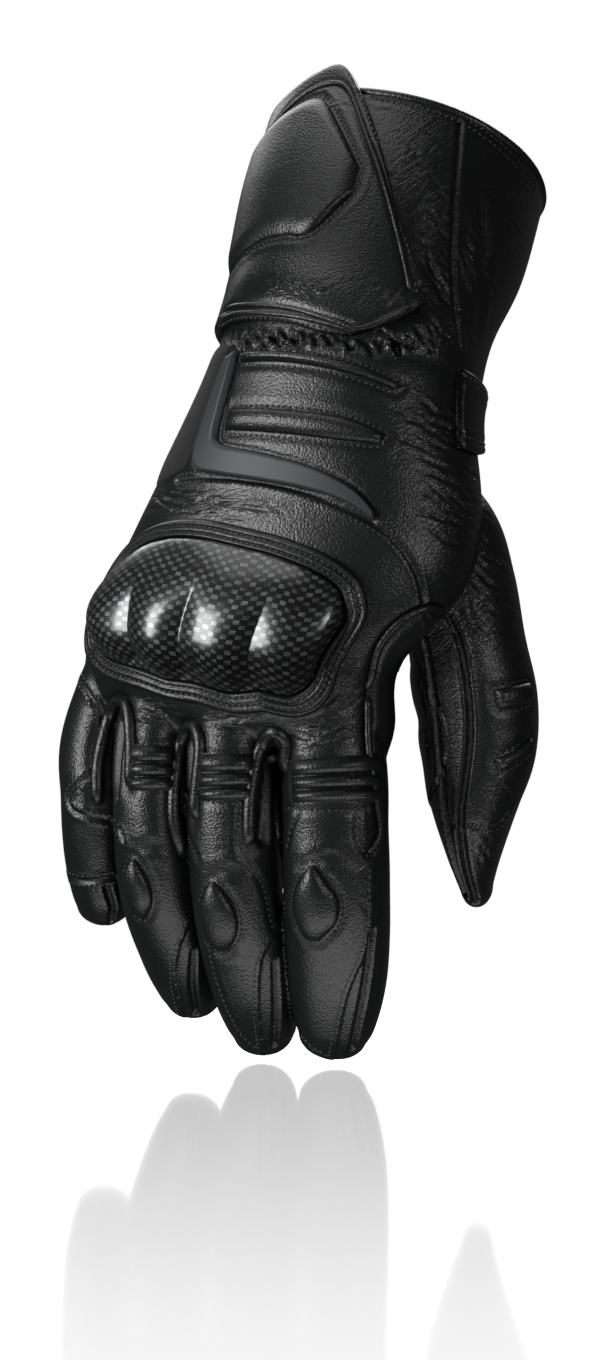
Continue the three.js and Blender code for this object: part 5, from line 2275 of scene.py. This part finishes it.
@dataclass
class KnuckleArmour:
    """The woven carbon guard with its four domes, and the leather frame that holds it down."""

    shop: Workshop
    rim: float = 2.0
    high: float = 6.8
    groove: float = 2.7
    frame_wide: float = 6.4
    frame_gap: float = 0.2
    frame_low: float = 1.5  # how much wider the frame is under the guard
    frame_top: float = 1.8
    frame_seams: tuple[float, float] = (0.275, 0.62)  # where across the frame its stitches run
    side_round: float = 0.75  # how full the guard is from above to below
    end_round: float = 0.34  # how much of its length each end's rounding takes
    groove_start: tuple[float, float] = (0.16, 0.6)  # the grooves come out of the brow between these
    rolls: int = 3
    roll_widen: float = 0.85  # under 1, the rolls get wider outwards
    roll_full: float = 0.7
    roll_edge: float = 0.5
    roll_high: tuple[float, float] = (1.1, 0.8)  # the frame's body and its rolls
    roll_shoulder: float = 0.3

    def guard_height(self, u: np.ndarray, v: np.ndarray) -> np.ndarray:
        """Shapes the guard's four domes.

        Args:
            u: where along the guard's lines.
            v: the share of the way from its upper to its lower edge.

        Returns:
            The height over the leather at each place.
        """
        marks = np.array(GUARD_GROOVES)
        k = np.clip(np.searchsorted(marks, u, side="left") - 1, 0, len(marks) - 2)
        aside = 2 * (u - marks[k]) / (marks[k + 1] - marks[k]) - 1
        cut = self.groove * aside**2 * smoothstep(v, *self.groove_start)
        sides = rounded(u / (len(GUARD_LINES) - 1), self.end_round)
        body = np.sin(np.pi * v) ** self.side_round * sides
        return self.rim + np.maximum(self.high * body - cut, 0)

    def frame_height(self, u: np.ndarray, v: np.ndarray) -> np.ndarray:
        """Shapes the frame's three soft rolls, of which the outer one is the widest.

        Args:
            u: where round the frame; not used.
            v: the share of the way outwards.

        Returns:
            The height over the leather at each place.
        """
        rolls = np.abs(np.sin(self.rolls * np.pi * v**self.roll_widen)) ** self.roll_full
        body, roll = self.roll_high
        return self.roll_edge + (body + roll * rolls) * rounded(v, self.roll_shoulder)

    def edge(self, u: np.ndarray, distance: float) -> np.ndarray:
        """Finds places at a distance outside the guard's edge, all round it.

        Args:
            u: where along the guard's lines.
            distance: how far outside, in millimetres.

        Returns:
            Rows and turns, down one side and back up the other.
        """
        table = catmull(np.array(GUARD_LINES, float), u)
        edge = np.concatenate([table[:, :2], table[::-1, 2:]])
        before, after = np.roll(edge, 1, 0), np.roll(edge, -1, 0)
        here = SLEEVE.at(edge[:, 0], edge[:, 1])
        lower = SLEEVE.at(edge[:, 0] + ROW_STEP, edge[:, 1])
        per_row = np.linalg.norm(lower - here, axis=1) / ROW_STEP
        per_turn = np.linalg.norm(SLEEVE.at(edge[:, 0], edge[:, 1] + 1) - here, axis=1)
        down = (after - before)[:, 0] * per_row
        round_way = (after - before)[:, 1] * per_turn
        length = np.hypot(down, round_way)
        out = np.stack([-round_way / length / per_row, down / length / per_turn], -1)
        return edge + distance * out

    def frame(self) -> Overlay:
        """Lays the frame out round the guard: three soft rolls, with stitches in both valleys.

        Returns:
            The frame.
        """
        u = np.linspace(0, len(GUARD_LINES) - 1, 2 * len(GUARD_LINES) - 1)
        inner = self.edge(u, self.frame_gap)
        outer = self.edge(u, self.frame_wide)
        under = np.arange(len(outer)) >= len(u)
        outer[under] = self.edge(u, self.frame_wide + self.frame_low)[under]
        lines = tuple(map(tuple, np.concatenate([inner, outer], axis=1)))
        return Overlay(SLEEVE, lines, self.frame_height, steps=10, spans=36, loop=True)

    def build(self, hand: HandLeather) -> None:
        """Builds and dresses the guard and its frame.

        Args:
            hand: the leather that they lie on; not used.
        """
        dome = Overlay(SLEEVE, GUARD_LINES, self.guard_height, steps=24, spans=110)
        guard, cloth = dome.surface()
        shell = self.shop.piece(
            "carbon_guard", guard, self.shop.carbon, ("knuckle_guard",), CARBON_SLOT, cloth_map=cloth
        )
        band, _ = self.frame().surface()
        tailor = Tailor(band)
        u = np.linspace(0, len(GUARD_LINES) - 1, 10 * len(GUARD_LINES))
        for share in self.frame_seams:
            at = self.edge(u, self.frame_gap + share * (self.frame_wide - self.frame_gap))
            tailor.sew(band.seat(SLEEVE.at(at[:, 0], at[:, 1], self.frame_top)), THREAD_ONLY)
        Studio.flag("table_glow", shell)
        self.shop.piece("guard_frame", band, self.shop.leather, ("knuckle_frame",))
        self.shop.trim("frame", tailor)


@dataclass(frozen=True)
class FingerPieces:
    """One finger's ribbed stretch panel and drop-shaped pad, by rows and turns of its skin."""

    name: str
    skin: Skin
    stretch_rows: tuple[float, float]
    stretch_turns: tuple[float, float]
    pad_rows: tuple[float, float]
    pad_turn: float
    pad_half: float
    ribs: int = 3
    rib_high: float = 1.7
    rib_power: float = 0.8
    rib_taper: float = 0.3
    drop: tuple[float, ...] = (0.12, 0.55, 0.9, 1.0, 0.8, 0.25)  # the pad's half widths on its way
    pad_height: Swell = Swell(5, edge=0.0, rise=2.7, side_share=0.5, end_share=0.4)
    pad_seam: float = 1.1
    pad_fill: float = 0.8

    def rib_height(self, u: np.ndarray, v: np.ndarray) -> np.ndarray:
        """Returns the stretch panel's height: padded ribs that taper to both sides."""
        ribs = np.abs(np.sin(np.pi * self.ribs * u)) ** self.rib_power
        return self.rib_high * ribs * rounded(v, self.rib_taper)

    def build(self, shop: Workshop, hand: HandLeather) -> None:
        """Builds and dresses both pieces, and sews round the pad.

        Args:
            shop: where the pieces are dressed.
            hand: the leather that they lie on.
        """
        near, far = self.stretch_turns
        lines = tuple((row, near, row, far) for row in self.stretch_rows)
        panel, _ = Overlay(self.skin, lines, self.rib_height, steps=60, spans=40).surface()
        shop.piece(self.name + "_stretch_panel", panel, shop.leather, (self.name + "_stretch",))
        halves = self.pad_half * np.array(self.drop)
        lines = tuple(
            (row, self.pad_turn + half, row, self.pad_turn - half)
            for row, half in zip(np.linspace(*self.pad_rows, len(halves)), halves)
        )
        pad = Overlay(self.skin, lines, self.pad_height, steps=12, spans=28)
        hand.bed(pad, self.pad_seam, TOPSTITCH)
        obj = shop.piece(self.name + "_drop_pad", pad.surface()[0], shop.leather, (self.name + "_pad",))


FINGER_PIECES = (
    FingerPieces("index", INDEX, (0.95, 1.6), (136, 28), (2.4, 3.35), 110, 26),
    FingerPieces("middle", MIDDLE, (0.92, 1.55), (110, 40), (2.55, 3.35), 97, 26),
    FingerPieces("ring", RING, (0.95, 1.58), (90, 26), (2.4, 3.15), 88, 22),
)

THUMB_BAR_HEIGHT = Swell(2, edge=0.1, rise=1.9, side_share=0.4, end_share=0.15)
THUMB_BAR_SEAM = 0.9
THUMB_BARS = {
    "thumb_bar_upper": ((3.82, 150, 4.15, 149), (3.79, 128, 4.15, 128), (3.78, 106, 4.13, 106)),
    "thumb_bar_lower": ((5.08, 152, 5.3, 146), (4.92, 130, 5.15, 124), (4.72, 108, 4.96, 100)),
}


@dataclass(frozen=True)
class SoftBox:
    """A lamp behind a rectangle of cloth, which faces the glove's middle."""

    name: str
    place: tuple[float, float, float]  # its middle, in millimetres
    size: tuple[float, float]  # its width and height, in millimetres
    power: float  # in watts

    def hang(self) -> bpy.types.Object:
        """Makes the lamp.

        Returns:
            Its object.
        """
        light = bpy.data.lights.new(self.name, "AREA")
        light.shape = "RECTANGLE"
        light.size, light.size_y = self.size[0] * MM, self.size[1] * MM
        light.energy = self.power
        holder = linked_object(self.name, light)
        holder.location = Vector(self.place) * MM
        aim = Vector((CAMERA_PLACE[0], 0, CAMERA_PLACE[2])) - Vector(self.place)
        holder.rotation_euler = aim.to_track_quat("-Z", "Y").to_euler()
        return holder


GLOVE_LAMPS = (
    SoftBox("left_strip", (-760, -420, 80), (300, 560), 8.0),
    SoftBox("right_strip", (360, -780, 20), (150, 300), 1.4),
    SoftBox("top_box", (-250, 40, 800), (1000, 500), 2.9),
    SoftBox("back_wash", (0, 700, 700), (1200, 700), 9.0),
    SoftBox("table_glow", (-30, -150, -340), (400, 120), 0.42),
)
# These light nothing but the sweep, so that it is white all round
WALL_SIZE = (2400, 1500)
WALL_POWER = 36.0
SWEEP_LAMPS = (
    SoftBox("lit_ceiling", (0, 0, 1800), (2600, 2600), 67.6),
    SoftBox("lit_wall_back", (0, 1300, 450), WALL_SIZE, WALL_POWER),
    SoftBox("lit_wall_right", (1300, 0, 450), WALL_SIZE, WALL_POWER),
    SoftBox("lit_wall_front", (0, -1300, 450), WALL_SIZE, WALL_POWER),
    SoftBox("lit_wall_left", (-1300, 0, 450), WALL_SIZE, WALL_POWER),
)


@dataclass
class Studio:
    """A white seamless sweep, soft lamps, and the photograph's camera.

    The sweep glows evenly and mirrors a little of the glove, and it neither lights the glove nor
    shows in its highlights, as when a glove is shot on a lit table among dark screens.
    """

    floor_drop: float = 1.5
    reach: float = 3600.0  # the sweep's radius
    bend: float = 500.0
    height: float = 3000.0
    sides: int = 96
    room: float = 0.06  # the light from all round
    mirror: float = 0.44
    mirror_rough: float = 0.08
    mirror_front: tuple[float, float] = (-480.0, -20.0)  # between these the mirroring fades in
    mirror_back: tuple[float, float] = (250.0, 40.0)  # and behind the glove between these
    far_clip: float = 20.0  # metres

    def build(self, lowest: float) -> None:
        """Sets the stage.

        Args:
            lowest: the glove's lowest point, in metres.
        """
        sweep = self.sweep(lowest / MM - self.floor_drop)
        for lamp in GLOVE_LAMPS:
            lamp.hang()
        floor_only = bpy.data.collections.new("lit_floor")
        floor_only.objects.link(sweep)
        for lamp in SWEEP_LAMPS:
            lamp.hang().light_linking.receiver_collection = floor_only
        world = bpy.data.worlds.new("soft_room")
        world.use_nodes = True
        background = world.node_tree.nodes["Background"]
        background.inputs["Color"].default_value = srgb("#ffffff")
        background.inputs["Strength"].default_value = self.room
        camera = bpy.data.cameras.new("photo_camera")
        camera.sensor_fit = "VERTICAL"
        camera.sensor_height = SENSOR
        camera.lens = FOCAL_PIXELS / PHOTO_HIGH * SENSOR
        camera.clip_end = self.far_clip
        holder = linked_object("photo_camera", camera)
        holder.location = Vector(CAMERA_PLACE) * MM
        holder.rotation_euler = (np.pi / 2, 0, 0)
        scene = bpy.context.scene
        scene.world = world
        scene.camera = holder
        scene.view_settings.view_transform = "Standard"

    def sweep(self, floor: float) -> bpy.types.Object:
        """Builds the sweep, which is round like a bowl.

        Args:
            floor: the height of its floor, in millimetres.

        Returns:
            The sweep.
        """
        flat = self.reach - self.bend
        curve = [(flat - self.bend, floor), (flat, floor)]
        for angle in np.radians(np.arange(10, 90, 10)):
            curve.append((flat + self.bend * np.sin(angle), floor + self.bend * (1 - np.cos(angle))))
        curve.append((self.reach, floor + self.height))
        turns = np.linspace(0, 2 * np.pi, self.sides, endpoint=False)
        points = [(far * np.cos(turn), far * np.sin(turn), z) for far, z in curve for turn in turns]
        points = np.array([*points, (0.0, 0.0, floor)])
        rings = grid_triangles(len(curve), self.sides, False, True)
        middle = fan(np.arange(self.sides), len(points) - 1)
        sweep = plain_object("studio_sweep", points, np.concatenate([rings, middle]))
        smoothed(sweep.data)
        sweep.data.materials.append(self.table_material())
        sweep.visible_diffuse = False
        sweep.visible_glossy = False
        sweep.visible_shadow = False
        return sweep

    def table_material(self) -> bpy.types.Material:
        """Makes opal acrylic lit from below, whose polish mirrors a little of the glove.

        Returns:
            The material.
        """
        material, tree = new_material("lit_acrylic_table")
        white = srgb("#ffffff")
        glow = add_node(tree, "ShaderNodeEmission", inputs={"Color": white, "Strength": 1.0})
        polish = {"Color": white, "Roughness": self.mirror_rough}
        mirror = add_node(tree, "ShaderNodeBsdfAnisotropic", inputs=polish)
        place = add_node(tree, "ShaderNodeTexCoord").outputs["Object"]
        depth = add_node(tree, "ShaderNodeSeparateXYZ", inputs={"Vector": place}).outputs["Y"]
        ramps = [
            add_node(
                tree,
                "ShaderNodeMapRange",
                {"interpolation_type": "SMOOTHSTEP"},
                {"Value": depth, "From Min": start * MM, "From Max": stop * MM, "To Max": full},
            )
            for start, stop, full in ((*self.mirror_front, self.mirror), (*self.mirror_back, 1.0))
        ]
        share = add_node(tree, "ShaderNodeMath", {"operation": "MULTIPLY"}, dict(enumerate(ramps)))
        both = add_node(tree, "ShaderNodeMixShader", inputs={0: share, 1: glow, 2: mirror})
        add_node(tree, "ShaderNodeOutputMaterial", inputs={"Surface": both})
        return material

    @staticmethod
    def flag(lamp: str, shaded: bpy.types.Object) -> None:
        """Keeps a lamp's light off one object, as a black card between them would.

        Args:
            lamp: the lamp's name.
            shaded: the object.
        """
        behind = bpy.data.collections.new("behind_flag")
        behind.objects.link(shaded)
        behind.collection_objects[0].light_linking.link_state = "EXCLUDE"
        bpy.data.objects[lamp].light_linking.receiver_collection = behind


def main() -> None:
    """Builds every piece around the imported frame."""
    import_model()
    Studio().build(min(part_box(name)[0][2] for name in ("index_finger", "middle_finger")))
    shop = Workshop.open()
    hand = HandLeather(shop)
    hand.melt()
    log.info("skin: %d triangles", len(hand.tailor.surface.triangles))
    Cuff(shop).build()
    WristPieces(shop).build(hand)
    KnuckleArmour(shop).build(hand)
    for finger in FINGER_PIECES:
        finger.build(shop, hand)
    for name, lines in THUMB_BARS.items():
        bar = Overlay(THUMB, lines, THUMB_BAR_HEIGHT, steps=24, spans=16)
        shop.piece(name + "_roll", bar.surface()[0], shop.leather, (name,))
        hand.bed(bar, THUMB_BAR_SEAM, TOPSTITCH)
    hand.build()


if __name__ == "__main__":
    main()
